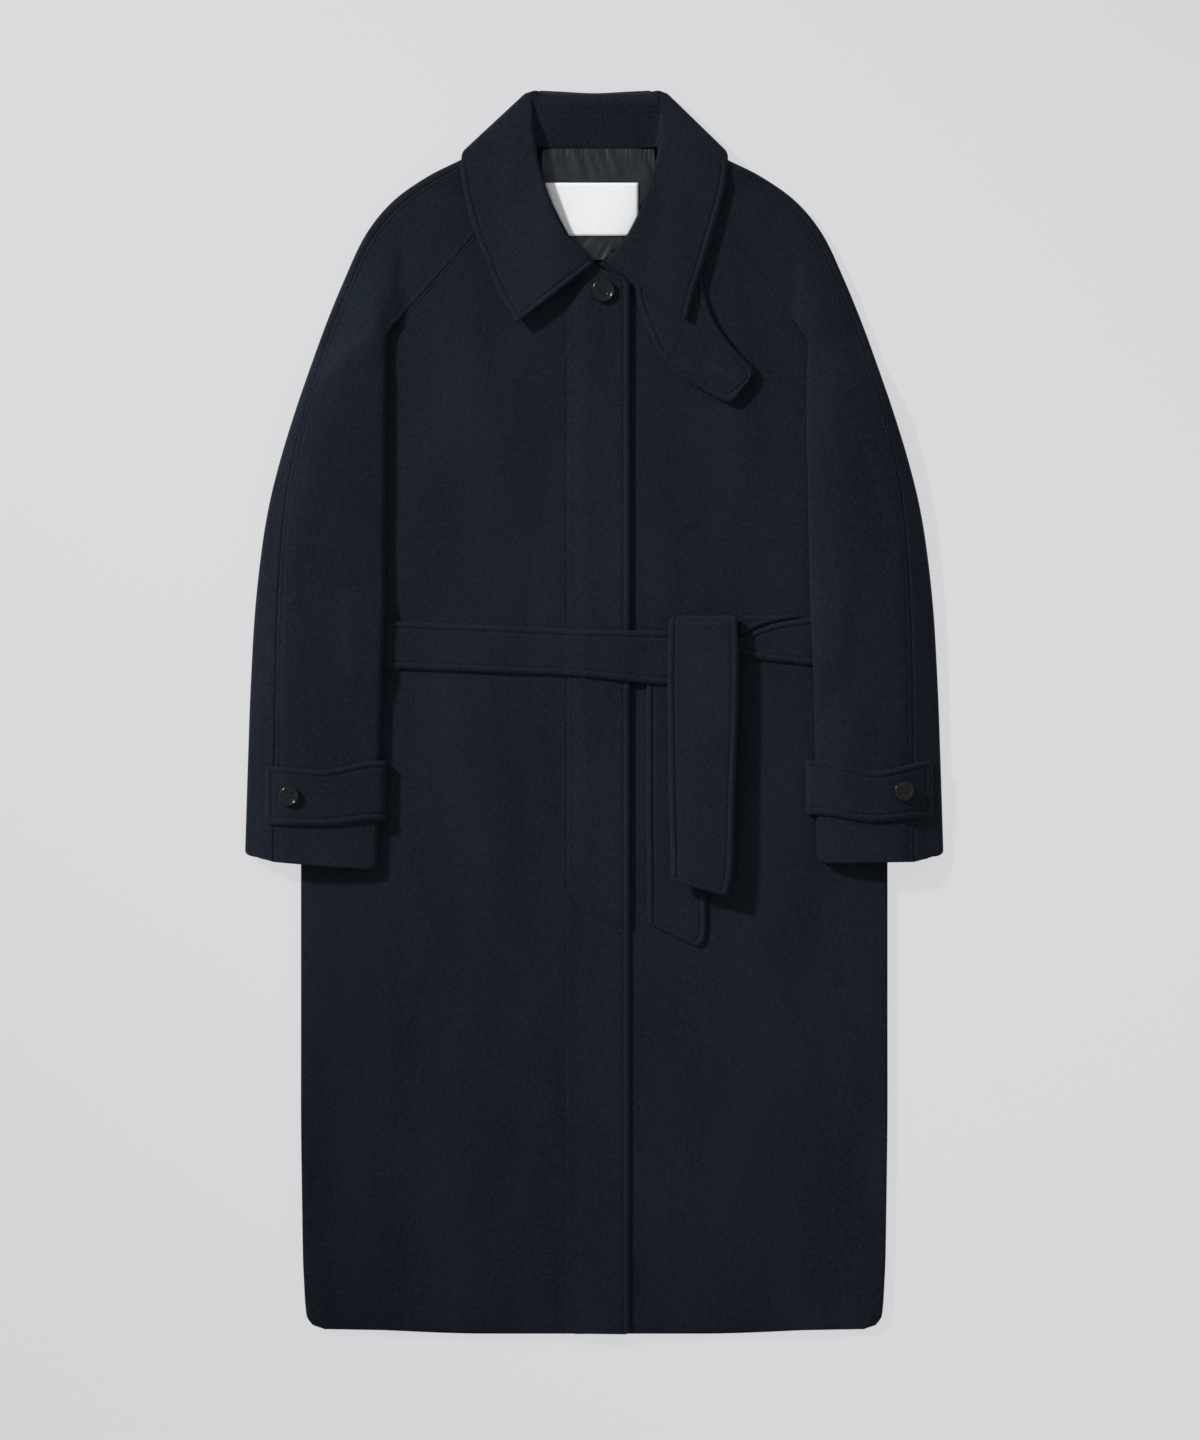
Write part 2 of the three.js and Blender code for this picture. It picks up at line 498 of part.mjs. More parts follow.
// Back half of a sleeve: from the seam over the arm, round the outer fold and along underneath
function sleeveBack(side) {
  const half = TUBE / 2;
  const face = [];
  const back = [];
  for (const row of sleeveRows(side)) {
    const overWay = row.fold.clone().sub(row.seam);
    const overWidth = overWay.length();
    overWay.normalize();
    const across = row.inner.clone().sub(row.fold);
    const width = across.length() - SEAM_GAP / 2;
    const way = across.normalize();
    const faceLine = [];
    const backLine = [];
    const add = (p, top, bottom, q = p) => {
      faceLine.push(point(p.x, p.y, sleeveFloor(side, p.x, p.y) + top));
      backLine.push(point(q.x, q.y, sleeveFloor(side, q.x, q.y) + bottom));
    };
    const run = Math.max(0.6, overWidth - half - 1);
    const roll = Math.min(SEAM_ROLL, run * 0.6);
    for (const reach of [SEAM_GAP / 2, roll, (roll + run) / 2]) {
      const p = row.seam.clone().addScaledVector(overWay, reach);
      const crown = sleeveCrown(side, p.x, p.y);
      add(p, TUBE - (reach < roll ? SEAM_DIP : 0) + crown, TUBE - WOOL + crown);
    }
    for (const angle of [90, 54, 18, -18, -54, -90]) {
      const turn = THREE.MathUtils.degToRad(angle);
      const p = row.fold.clone().addScaledVector(way, half * (1 - Math.cos(turn)));
      const q = row.fold.clone().addScaledVector(way, half - (half - WOOL) * Math.cos(turn));
      const crown = sleeveCrown(side, p.x, p.y) * clamp01(Math.sin(turn));
      add(p, half + half * Math.sin(turn) + crown, half + (half - WOOL) * Math.sin(turn) + crown, q);
    }
    const flat = width - 2 * half;
    for (let i = 1; i <= BACK_HALF_STEPS; i += 1) {
      add(row.fold.clone().addScaledVector(way, half + (flat * i) / BACK_HALF_STEPS), 0, WOOL);
    }
    for (const angle of [45, 88]) {
      const turn = THREE.MathUtils.degToRad(angle);
      const rise = (half - SEAM_GAP) * row.rolled * (1 - Math.cos(turn));
      const insideRise = (half - WOOL - SEAM_GAP) * row.rolled * (1 - Math.cos(turn));
      const reach = half + flat + half * Math.sin(turn);
      const inside = half + flat + mix(half, half - WOOL, row.rolled) * Math.sin(turn);
      const p = row.fold.clone().addScaledVector(way, reach);
      add(p, rise, WOOL + insideRise, row.fold.clone().addScaledVector(way, inside));
    }
    face.push(faceLine);
    back.push(backLine);
  }
  return clothSolid(face, back);
}

// One front panel, from its raglan seam and side to its neckline and free edge
function front(side) {
  const sign = side === 'right' ? -1 : 1;
  const top = side === 'right' ? rightFrontTop : leftFrontTop;
  const edge = side === 'right' ? FRONT_EDGE_X : UNDER_EDGE_X;
  const seam = raglan(side);
  const rows = seam.map((p, k) => [new THREE.Vector2(sign * p.out, p.y),
    new THREE.Vector2(NECKLINE[side][k].x, NECKLINE[side][k].y)]);
  const lowest = SIDE[SIDE.length - 1].y;
  for (const { y, half } of SIDE) {
    const sag = HEM_SAG * ease((lowest + 80 - y) / 80);
    rows.push([new THREE.Vector2(sign * half, y), new THREE.Vector2(edge, y - sag)]);
  }
  const dips = [];
  const level = rows.map(([outer, inner], r) => {
    const across = outer.clone().sub(inner);
    const width = across.length() - (r <= RAGLAN_STEPS ? SEAM_GAP / 2 : 0);
    const way = across.normalize();
    const near = Math.min(1, width / 150);
    const flyColumns = [0, 3, 26, 48, 58, 70].map((d) => d * near);
    const rest = [0.14, 0.3, 0.46, 0.62, 0.78, 0.9].map((t) => mix(70 * near, width, t));
    const distances = [...flyColumns, ...rest, width - SEAM_ROLL * near, width];
    const last = distances.length - 1;
    dips.push(distances.map((d, i) => (i === 0 || (r <= RAGLAN_STEPS && i === last) ? SEAM_DIP : 0)));
    return distances.map((d) => {
      const p = inner.clone().addScaledVector(way, d);
      return point(p.x, p.y, top(p.x, p.y));
    });
  });
  const face = level.map((line, r) => line.map((p, i) => point(p.x, p.y, p.z - dips[r][i])));
  return clothSolid(face, under(level, WOOL));
}

// The back lies flat on the floor, and on the collar's back near the neck
function back() {
  const right = raglan('right');
  const left = raglan('left');
  const gap = SEAM_GAP / 2;
  const rows = [[{ x: -47, y: NECK_SEAM_Y - SEAM_GAP }, { x: 47, y: NECK_SEAM_Y - SEAM_GAP }]];
  right.forEach((p, k) => rows.push([{ x: gap - p.out, y: p.y }, { x: left[k].out - gap, y: left[k].y }]));
  for (const { y, half } of SIDE) rows.push([{ x: -half, y }, { x: half, y }]);
  const shares = [0, 0.12, 0.3, 0.5, 0.7, 0.88, 1];
  const face = rows.map(([a, b], r) => shares.map((t) => {
    const x = mix(a.x, b.x, t);
    const hem = r === rows.length - 1 ? HEM_SAG * ease(Math.min(t, 1 - t) / 0.3) : 0;
    const y = mix(a.y, b.y, t) - hem;
    return point(x, y, collarLift(x, y) + WOOL);
  }));
  return clothSolid(face, under(face, WOOL));
}

// The fall of the collar, from the tip of one leaf round behind the neck to the other tip
const COLLAR_SHARES = [0, 0.05, 0.25, 0.5, 0.75, 0.95, 1];
function collarFall() {
  const face = [];
  const back = [];
  const leafRow = (row) => {
    const line = COLLAR_SHARES.map((t) => {
      const crown = FALL_CROWN * Math.sin(Math.PI * t);
      const edge = t === 0 || t === 1 ? FALL_RIM : 0;
      const z = mix(row.rollZ, row.edgeZ, t) + crown - edge;
      return point(mix(row.rollX, row.edgeX, t), mix(row.rollY, row.edgeY, t), z);
    });
    face.push(line);
    back.push(line.map((p) => point(p.x, p.y, p.z - WOOL)));
  };
  const foldRows = (fold, angles) => {
    const along = new THREE.Vector2(fold.edgeX - fold.rollX, fold.edgeY - fold.rollY).normalize();
    const inward = new THREE.Vector2(along.y, -along.x);
    if (inward.y > 0) inward.negate();
    for (const angle of angles) {
      const turn = THREE.MathUtils.degToRad(angle);
      const line = (depth, thick) => COLLAR_SHARES.map((t) => {
        const halfHeight = mix(fold.rollHalf, fold.edgeHalf, t);
        const way = SHOULDER_FOLD_DEPTH - depth * Math.cos(turn);
        const x = mix(fold.rollX, fold.edgeX, t) + inward.x * way;
        const y = mix(fold.rollY, fold.edgeY, t) + inward.y * way;
        return point(x, y, halfHeight + (halfHeight - thick) * Math.sin(turn));
      });
      face.push(line(SHOULDER_FOLD_DEPTH, 0));
      back.push(line(SHOULDER_FOLD_DEPTH - WOOL, WOOL));
    }
  };
  const behindRow = (row) => {
    const line = COLLAR_SHARES.map((t) => (
      point(mix(row.rollX, row.edgeX, t), mix(row.rollY, row.edgeY, t), 0)));
    face.push(line);
    back.push(line.map((p) => point(p.x, p.y, WOOL)));
  };
  const downward = [90, 60, 30, 0, -30, -60, -90];
  LEAF.right.forEach(leafRow);
  foldRows(SHOULDER_FOLD.right, downward);
  COLLAR_BEHIND.forEach(behindRow);
  foldRows(SHOULDER_FOLD.left, [...downward].reverse());
  [...LEAF.left].reverse().forEach(leafRow);
  return clothSolid(face, back);
}

function collarStand() {
  const mirror = (row) => ({ ...row, neckX: LEFT_NECK_SHIFT - row.neckX, topX: LEFT_ROLL_SHIFT - row.topX });
  const rows = [...STAND, ...STAND.slice(1, -1).reverse().map(mirror), STAND_LEFT_END];
  const grid = rows.map((row) => [0, 0.33, 0.67, 1].map((t) => (
    point(mix(row.neckX, row.topX, t), mix(row.neckY, row.topY, t), mix(row.neckZ, row.topZ, t)))));
  return clothSolid(...bothFaces(grid, STAND_CLOTH));
}

// A strip given by its two long edges, lying on what is under it
const STRIP_SHARES = [0, 0.07, 0.36, 0.64, 0.93, 1];
function strip(rows, floor) {
  const last = STRIP_SHARES.length - 1;
  const face = rows.map((row, r) => STRIP_SHARES.map((t, i) => {
    const x = mix(row.leftX, row.rightX, t);
    const y = mix(row.leftY, row.rightY, t);
    const rim = i === 0 || i === last || r === rows.length - 1 ? RIM : 0;
    return point(x, y, floor(x, y) + BELT_CLOTH - rim);
  }));
  return clothSolid(face, face.map((line) => line.map((p) => point(p.x, p.y, floor(p.x, p.y)))));
}
const onLeftFront = (x, y) => leftFrontTop(x, y) + REST;

// A stretch of belt across the coat, from a table of cuts at one x
function beltAcross(cuts, floor) {
  const rows = cuts.map(({ x, top, bottom }) => ({ leftX: x, leftY: top, rightX: x, rightY: bottom }));
  return strip(rows, floor);
}

function beltRightFloor(x, y) {
  const level = Math.max(frontTop(x, y) + REST, x > FRONT_EDGE_X ? KNOT_HEIGHT : 0);
  return mix(level, KNOT_HEIGHT, ease((x - 30) / 10)) + 0.9 * ease((x - 6) / 14) * ease((52 - x) / 14);
}

// The front end comes up from under the belt, turns over its upper edge and hangs down
function beltEndFront() {
  const first = BELT_END_FRONT[0];
  const centreZ = first.z + BELT_CLOTH - KNOT_ROLL;
  const face = [];
  const lower = [];
  for (const angle of [-80, -50, -20, 10, 40, 68]) {
    const turn = THREE.MathUtils.degToRad(angle);
    const line = (radius) => STRIP_SHARES.map((t) => {
      const y = first.leftY + radius * Math.cos(turn);
      return point(mix(first.leftX, first.rightX, t), y, centreZ + radius * Math.sin(turn));
    });
    face.push(line(KNOT_ROLL));
    lower.push(line(KNOT_ROLL - BELT_CLOTH));
  }
  const hanging = BELT_END_FRONT.map((row) => STRIP_SHARES.map((t) => (
    point(mix(row.leftX, row.rightX, t), mix(row.leftY, row.rightY, t), row.z))));
  hanging.forEach((line, r) => {
    const last = STRIP_SHARES.length - 1;
    const rim = (i) => (r > 0 && (i === 0 || i === last || r === hanging.length - 1) ? RIM : 0);
    face.push(line.map((p, i) => point(p.x, p.y, p.z + BELT_CLOTH - rim(i))));
    lower.push(line);
  });
  return clothSolid(face, lower);
}

// A cuff tab lies on the sleeve and turns round its inner fold
function cuffTab(side) {
  const { end, topY, bottomY, slack } = CUFF_TAB[side];
  const sign = side === 'right' ? -1 : 1;
  const half = TUBE / 2;
  const face = [];
  const lower = [];
  const edgeAt = ([first, middle, last], t) => (
    t < 0.5 ? mix(first, middle, ease(t * 2)) : mix(middle, last, ease(t * 2 - 1)));
  for (const share of [0, 0.1, 0.5, 0.9, 1]) {
    const atEdge = share === 0 || share === 1;
    const faceLine = [];
    const lowerLine = [];
    const foldOut = (y) => read(INNER_FOLD[side], 'y', 'out', y);
    for (const t of [0, 0.05, 0.14, 0.23, 0.32, 0.41, 0.55, 0.75, 1]) {
      const y = mix(edgeAt(topY, t), edgeAt(bottomY, t), share);
      const inner = foldOut(y) + half - slack;
      const out = mix(end - (t === 0 && atEdge ? TAB_CORNER : 0), inner, t);
      const z = sleeveFloor(side, sign * out, y) + sleeveCrown(side, sign * out, y) + TUBE + TAB_REST;
      faceLine.push(point(sign * out, y, z + BELT_CLOTH - (t === 0 || atEdge ? RIM : 0)));
      lowerLine.push(point(sign * out, y, z));
    }
    const y = mix(topY[2], bottomY[2], share);
    const centreOut = foldOut(y) + half - slack;
    const centreZ = sleeveFloor(side, sign * centreOut, y) + half;
    for (const angle of [58, 26, -6, -34]) {
      const turn = THREE.MathUtils.degToRad(angle);
      const ring = (radius) => (
        point(sign * (centreOut - radius * Math.cos(turn)), y, centreZ + radius * Math.sin(turn)));
      faceLine.push(ring(half + TAB_REST + BELT_CLOTH));
      lowerLine.push(ring(half + TAB_REST));
    }
    face.push(faceLine);
    lower.push(lowerLine);
  }
  return clothSolid(face, lower);
}

// A turned button: raised rim, dished middle and a rounded back
function button(radius) {
  const { thick, rim, dish } = BUTTON;
  const profile = [
    [0, 0],
    [radius * 0.55, 0],
    [radius - 0.8, 1.1],
    [radius, 2.2],
    [radius - 0.5, thick - 0.4],
    [radius - rim * 0.6, thick],
    [radius - rim, thick - dish],
    [0, thick - dish - 0.2],
  ].map(([r, z]) => new THREE.Vector2(r, z));
  return new THREE.LatheGeometry(profile, 24).rotateX(Math.PI / 2);
}

function liningBack() {
  const face = LINING_PATCH.map(({ y, left, right }) => [0, 0.25, 0.5, 0.75, 1].map((t) => {
    const x = mix(left, right, t);
    return point(x, y, LINING_TOP);
  }));
  return clothSolid(face, under(face, LINING));
}

function label() {
  const { left, right, top, bottom, thick } = LABEL;
  const face = [0, 0.33, 0.67, 1].map((v) => {
    const y = mix(top, bottom, v);
    const reach = -read(STAND.slice(0, STAND_CORNER), 'neckY', 'neckX', y) - STAND_CLOTH;
    return [0, 0.33, 0.67, 1].map((t) => {
      const x = mix(Math.max(left, -reach), Math.min(right, reach), t);
      return point(x, y, LINING_TOP + REST + thick);
    });
  });
  return clothSolid(face, under(face, thick));
}

// Materials and assembly
const material = (color, roughness) => new THREE.MeshStandardMaterial({ color, roughness, metalness: 0 });
const WOOL_CLOTH = material(COLOURS.wool, 0.95);
const LINING_CLOTH = material(COLOURS.lining, 0.55);
const LABEL_CLOTH = material(COLOURS.label, 0.7);
const HORN = material(COLOURS.horn, 0.25);

const coat = new THREE.Group();
function addPiece(name, geometry, look, place) {
  const mesh = new THREE.Mesh(geometry, look);
  mesh.name = name;
  if (place) mesh.position.copy(place);
  coat.add(mesh);
}

addPiece('back', back(), WOOL_CLOTH);
for (const side of ['right', 'left']) {
  addPiece(`front_${side}`, front(side), WOOL_CLOTH);
  addPiece(`sleeve_${side}_front`, sleeveFront(side), WOOL_CLOTH);
  addPiece(`sleeve_${side}_back`, sleeveBack(side), WOOL_CLOTH);
  addPiece(`cuff_tab_${side}`, cuffTab(side), WOOL_CLOTH);
  const { x, y } = CUFF_BUTTON[side];
  const reach = BUTTON.cuffRadius;
  const tabTop = (atX) => (
    sleeveFloor(side, atX, y) + sleeveCrown(side, atX, y) + TUBE + TAB_REST + BELT_CLOTH);
  const tilt = Math.atan2(tabTop(x + reach) - tabTop(x - reach), 2 * reach);
  const seat = Math.max((tabTop(x - reach) + tabTop(x + reach)) / 2, tabTop(x)) + BUTTON_REST;
  addPiece(`button_cuff_${side}`, button(BUTTON.cuffRadius).rotateY(-tilt), HORN, point(x, y, seat));
}
addPiece('collar_fall', collarFall(), WOOL_CLOTH);
addPiece('collar_stand', collarStand(), WOOL_CLOTH);
addPiece('throat_tab', strip(THROAT_TAB, onLeftFront), WOOL_CLOTH);
addPiece('belt_right', beltAcross(BELT_RIGHT, beltRightFloor), WOOL_CLOTH);
addPiece('belt_left', beltAcross(BELT_LEFT, onLeftFront), WOOL_CLOTH);
addPiece('belt_knot', beltAcross(BELT_KNOT, onLeftFront), WOOL_CLOTH);
addPiece('belt_end_rear', strip(BELT_END_REAR, onLeftFront), WOOL_CLOTH);
addPiece('belt_end_front', beltEndFront(), WOOL_CLOTH);
const neckSeat = rightFrontTop(NECK_BUTTON.x, NECK_BUTTON.y) + BUTTON_REST;
addPiece('button_neck', button(BUTTON.neckRadius), HORN, point(NECK_BUTTON.x, NECK_BUTTON.y, neckSeat));
addPiece('lining_back', liningBack(), LINING_CLOTH);
addPiece('label', label(), LABEL_CLOTH);

export default coat;
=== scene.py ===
import math

import bmesh
import bpy
from mathutils import Matrix, Vector, noise


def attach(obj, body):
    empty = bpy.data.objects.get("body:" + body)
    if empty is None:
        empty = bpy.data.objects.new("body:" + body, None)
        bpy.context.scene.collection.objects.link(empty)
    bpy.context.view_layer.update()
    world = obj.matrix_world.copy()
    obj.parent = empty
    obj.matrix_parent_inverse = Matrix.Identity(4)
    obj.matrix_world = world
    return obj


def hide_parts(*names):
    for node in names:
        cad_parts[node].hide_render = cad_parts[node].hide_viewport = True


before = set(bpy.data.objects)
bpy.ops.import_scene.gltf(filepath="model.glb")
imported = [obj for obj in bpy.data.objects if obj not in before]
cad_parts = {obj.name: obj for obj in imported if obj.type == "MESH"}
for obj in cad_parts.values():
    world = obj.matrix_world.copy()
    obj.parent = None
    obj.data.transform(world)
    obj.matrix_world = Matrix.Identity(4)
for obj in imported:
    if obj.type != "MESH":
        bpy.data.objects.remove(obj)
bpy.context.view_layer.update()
MM = 0.001

# Cloth, seams and heights above the floor
WOOL = 3.0
BELT_CLOTH = 3.4
SEAM_GAP = 0.04
TUBE = 9.4
BODY_TOP = 8.7
CHEST_RISE = 0.5
CHEST_FROM_Y = 250
CHEST_OVER = 150
BODY_FOLD_FADES = (160, 60)
SIDE_EDGE_TOP = 6.8
SIDE_ROUND = 14
HEM_ROUND = 12
FRONT_EDGE_X = 36
UNDER_EDGE_X = -19
FLY_STITCH_X = -27
FLY_RISE = 4.5
OVERLAP_RISE = 2.5
FLY_CURVE_Y = -172
FLY_CURVE_REACH = 52
FLY_END_Y = -216
UNDER_TOP = 7.2
UNDER_EDGE_TOP = 6.5
UNDER_EDGE_RAMP = 14
UNDER_FREE_X = 22
UNDER_FREE_RAMP = 40
FLY_RAMP = 24
OVERLAP_RAMP = 20
NECK_RAMP = 20
NECK_RISE_X = -34
NECK_RISE_Y = 470
FRONT_RISE_Y = 430
NECK_SEAM_Y = 564
COLLAR_LIFT = 3.4
COLLAR_LIFT_EDGE = {"middle": 540, "side": 556, "from": 60, "over": 76}
COLLAR_LIFT_RAMP = 22
COLLAR_LIFT_MARGIN = 14
REST = 0.5
TAB_REST = 0.7
BUTTON_REST = 0.8
SLEEVE_CROWN = 10
CROWN_TOP_Y = 450
CROWN_FADE = 140
CROWN_REACH = {"right": {"inner": 88, "outer": 42}, "left": {"inner": 42, "outer": 88}}

# Turned edges and topstitching
EDGE_ROUND = 1.5
STITCH_IN = 6.8
PUFF = 0.75
GROOVE = 1.0
PUFF_IN = 3.4
PUFF_WIDTH = 2.4
GROOVE_WIDTH = 0.9
EDGE_FALL = 0.9
EDGE_FALL_REACH = 5
SEAM_PUFF = 0.3
SEAM_PUFF_IN = 2.3
SEAM_PUFF_WIDTH = 1.3
SEAM_GROOVE = 0.45
SEAM_GROOVE_WIDTH = 0.8
SEAM_VALLEY = 0.5
SEAM_WIDTH = 1.3
EDGE_LINES = (0, 0.3, 0.8, 1.6, 2.8, 4.2, 5.4, 6.1, STITCH_IN, 7.5, 8.3, 10, 13)
STITCH_LINE = 8
SEAM_LINES = (0, 0.4, 0.9, 1.6, 2.4, 3.2, 3.7, 4.1, 4.6, 5.4, 7, 12)
SEAM_STITCH_IN = 4.1
SEAM_STITCH_LINE = 7
STITCH_LENGTH = 3.4
STITCH_PITCH = 4.6
THREAD = 0.5
STITCH_LIFT = 0.12
STITCH_SIZE = (STITCH_LENGTH / 2, THREAD / 2 * 1.2, THREAD / 2)


def table(columns, *rows):
    names = columns.split()
    return [dict(zip(names, row)) for row in rows]


RAGLAN = {
    "right": table("out y", (61, 543), (204, 381)),
    "left": table("out y", (61, 543), (128, 487), (165, 442), (212, 373)),
}
RAGLAN_STEPS = 6

# Outer fold of a sleeve and its seam over the arm, from the neck to the cuff
SLEEVE = table(
    "fold_out fold_y seam_out seam_y",
    (67, 587, 66, 581),
    (97, 571, 95, 565),
    (131, 553, 128, 547),
    (167, 535, 161, 530),
    (201, 511, 194, 506),
    (228, 478, 221, 474),
    (249, 434, 242, 431),
    (271, 380, 264, 377),
    (294, 314, 285, 312),
    (314, 250, 301, 249),
    (328, 190, 310, 189),
    (338, 112, 315, 111),
    (343, 32, 317, 31),
    (346, -48, 318, -50),
    (349, -144, 319, -149),
)
INNER_FOLD = {
    "right": table(
        "out y",
        (207, 340), (208, 287), (208, 232), (209, 177), (209, 102), (212, 26), (214, -54), (216, -157),
    ),
    "left": table(
        "out y",
        (212, 337), (212, 287), (213, 232), (214, 177), (216, 95), (219, 26), (221, -52), (222, -150),
    ),
}

# The crease above the inner fold
UPPER_CREASE = {
    "right": table("out y", (194, 500), (192, 448), (202, 395), (207, 337)),
    "left": table("out y", (197, 480), (204, 420), (208, 381), (212, 337)),
}
CREASE_DEPTH = 2.4
CREASE_WIDTH = 7
CREASE_FADES = {"from": 330, "over": 30, "top": 60}

# Side of the body from the underarm to the hem
SIDE = table(
    "y half",
    (346, 240),
    (310, 274),
    (242, 285),
    (152, 291),
    (72, 293),
    (-8, 293),
    (-88, 293),
    (-168, 293),
    (-248, 293),
    (-328, 293),
    (-408, 293),
    (-488, 292),
    (-548, 291),
    (-588, 289),
    (-604, 287),
    (-612, 281),
    (-616, 270),
)
HEM_SAG = 5
NECKLINE = {
    "right": table("x y", (-59, 537), (-48, 507), (-29, 472), (5, 444), (36, 428), (36, 404), (36, 375)),
    "left": table("x y", (59, 537), (48, 507), (29, 472), (4, 447), (-19, 430), (-19, 404), (-19, 371)),
}

# Soft lengthwise folds of the body
BODY_FOLDS = table(
    "x width height top bottom",
    (-120, 46, 1.0, 420, -640),
    (-55, 22, -0.8, 330, -500),
    (-180, 26, -1.1, 240, -640),
    (92, 26, -0.9, 300, -640),
    (178, 44, 1.0, 380, -640),
    (244, 24, -0.9, 60, -640),
)

LEAF = {
    "right": table(
        "roll_x roll_y roll_z edge_x edge_y edge_z",
        (-1, 447, 20.5, -77, 388, 22.5),
        (-14, 463, 21, -88, 406, 20),
        (-27, 476, 21.3, -99, 427, 18.5),
        (-37, 493, 21.3, -111, 458, 17.5),
        (-46, 517, 21, -122, 487, 17),
        (-55, 546, 20.4, -130, 519, 16.8),
        (-61, 580, 20.2, -134, 545, 16.6),
    ),
    "left": table(
        "roll_x roll_y roll_z edge_x edge_y edge_z",
        (12, 450, 20.5, 92.5, 390, 22.5),
        (19, 459, 21, 98, 411, 20),
        (31, 474, 21.3, 104, 431, 18.5),
        (40, 489, 21.3, 112, 456, 17.5),
        (49, 510, 21, 121, 486, 17),
        (58, 538, 20.4, 130, 519, 16.8),
        (67, 572, 20.2, 134, 544, 16.6),
    ),
}
SHOULDER_FOLD = {
    "right": {"roll_x": -65, "roll_y": 622, "edge_x": -135, "edge_y": 557},
    "left": {"roll_x": 69, "roll_y": 622, "edge_x": 136, "edge_y": 557},
}
SHOULDER_FOLD_DEPTH = 4
FOLD_HALF_AT_ROLL = 9.2
FOLD_HALF_AT_EDGE = 8.2
COLLAR_BEHIND = table(
    "roll_x roll_y edge_x edge_y",
    (-53, 621.5, -114, 548),
    (-32, 620.5, -74, 542),
    (0, 619, 0, 540),
    (33, 620.5, 77, 542),
    (54, 621.5, 117, 548),
)
STAND_CLOTH = 2.4
STAND = table(
    "neck_x neck_y neck_z top_x top_y top_z",
    (0, 449, 14.8, -3, 449.5, 16.2),
    (-11, 459, 13, -14, 462.5, 16),
    (-26, 473, 9.6, -27.5, 474.5, 16.2),
    (-36, 491, 9.2, -37.5, 491, 16.2),
    (-44.5, 508.5, 9.2, -45, 508.5, 16.2),
    (-51, 525.5, 9.4, -50, 525.5, 16.2),
    (-55.5, 540, 10, -54, 540, 16),
    (-57.5, 552, 10.5, -58, 555, 15.6),
    (-58.5, 561, 9.4, -61.5, 575, 15.7),
    (-57, 564.6, 7.6, -63.5, 598, 16.8),
    (-51.5, 564.4, 6, -64.5, 618, 17.2),
    (-34, 564.2, 4.9, -44, 619, 20.5),
    (0, 564.2, 4.9, 0, 618, 20.5),
)
STAND_LEFT_END = {"neck_x": 11, "neck_y": 453, "neck_z": 11.5, "top_x": 16, "top_y": 454.5, "top_z": 16.2}
STAND_SHIFT = {"neck_x": 6, "top_x": 4.5}
THROAT_TAB = table(
    "left_x left_y right_x right_y",
    (41, 426, 106, 449),
    (43, 411, 110, 422),
    (52, 386, 119, 393),
    (64, 360, 136, 367),
    (82, 339, 150, 352),
    (106, 323, 158, 344),
    (130, 310, 158, 337),
    (138, 308.5, 152, 328),
)
BELT_RIGHT = table(
    "left_x left_y right_x right_y",
    (-236, 94, -236, 46),
    (-213, 92, -213, 44),
    (-150, 89, -150, 41.5),
    (-90, 86.5, -90, 39),
    (-45, 84.5, -45, 37.5),
    (-24, 83.5, -24, 36.5),
    (-10, 83, -10, 35.5),
    (34, 82, 34, 31),
    (50, 81.5, 50, 29),
    (84, 81, 84, 27),
    (121, 80, 121, 26),
)
BELT_LEFT = table(
    "left_x left_y right_x right_y",
    (128, 73, 128, 61),
    (146, 75.5, 146, 58),
    (156, 80, 156, 55.5),
    (168, 85, 168, 52.5),
    (184, 90, 184, 50.5),
    (218, 95, 218, 47),
    (242, 96, 242, 46),
)
BELT_KNOT = table(
    "left_x left_y right_x right_y",
    (145.5, 97, 145.5, 77),
    (156, 97, 156, 81.5),
    (168, 97, 168, 86.5),
    (184, 97, 184, 91.5),
    (204, 97, 204, 94.5),
)
BELT_END_REAR = table(
    "left_x left_y right_x right_y",
    (52, 68, 111, 68),
    (52, 27, 111, 27),
    (52, -40, 111, -40),
    (52, -110, 112, -110),
    (53, -170, 112, -180),
    (53, -200, 112, -222),
    (54, -211, 104, -235),
)
BELT_END_FRONT = table(
    "left_x left_y right_x right_y z",
    (74, 88.5, 143, 88.5, 23.4),
    (73, 45, 144, 45, 23.7),
    (73.5, -20, 142.5, -20, 24.6),
    (74.5, -90, 140, -90, 25.6),
    (76, -140, 138.5, -150, 26.3),
    (76, -167, 133, -184, 26.8),
)
KNOT_ROLL = 8
BELT_UNDER_SLEEVE = {"top": 128, "bottom": 12, "blend": 30, "reach": 262, "taper": 22}
BELT_SPACE = 4
ON_BODY = 9.8
CREASE_UP = 95
CREASE_ACROSS = 16
BODY_SLOPE = 34
BODY_MARGIN = 14
KNOT_HEIGHT = 12.9
TAB_CORNER = 6
CUFF_TAB = {
    "right": {"end": 328, "top": (-53, -57, -48), "bottom": (-112, -113, -108), "slack": 2.5},
    "left": {"end": 338, "top": (-48, -58, -47), "bottom": (-104, -109, -102), "slack": 6},
}
NECK_BUTTON = (9, 421)
CUFF_BUTTON = {"right": (-303, -83), "left": (307.5, -78)}
NECK_BUTTON_RADIUS = 11.5
CUFF_BUTTON_RADIUS = 10
LINING_TOP = COLLAR_LIFT + WOOL + REST + 1
LINING_PATCH = table(
    "y left right",
    (562.6, -51, 60),
    (548, -53, 61),
    (534, -51.5, 58),
    (508, -41, 47.5),
    (480, -27, 33),
    (462, -14.5, 21),
    (452, -2, 10),
)
LABEL = {"left": -49, "right": 44, "top": 529, "bottom": 476}
LABEL_CLOTH = 0.5
LABEL_TUCK = 8
LINING_CLOTH = 0.8


# Small helpers
def mix(a, b, t):
    return a + (b - a) * t


def clamp01(t):
    return min(1.0, max(0.0, t))


def ease(t):
    t = clamp01(t)
    return t * t * (3 - 2 * t)


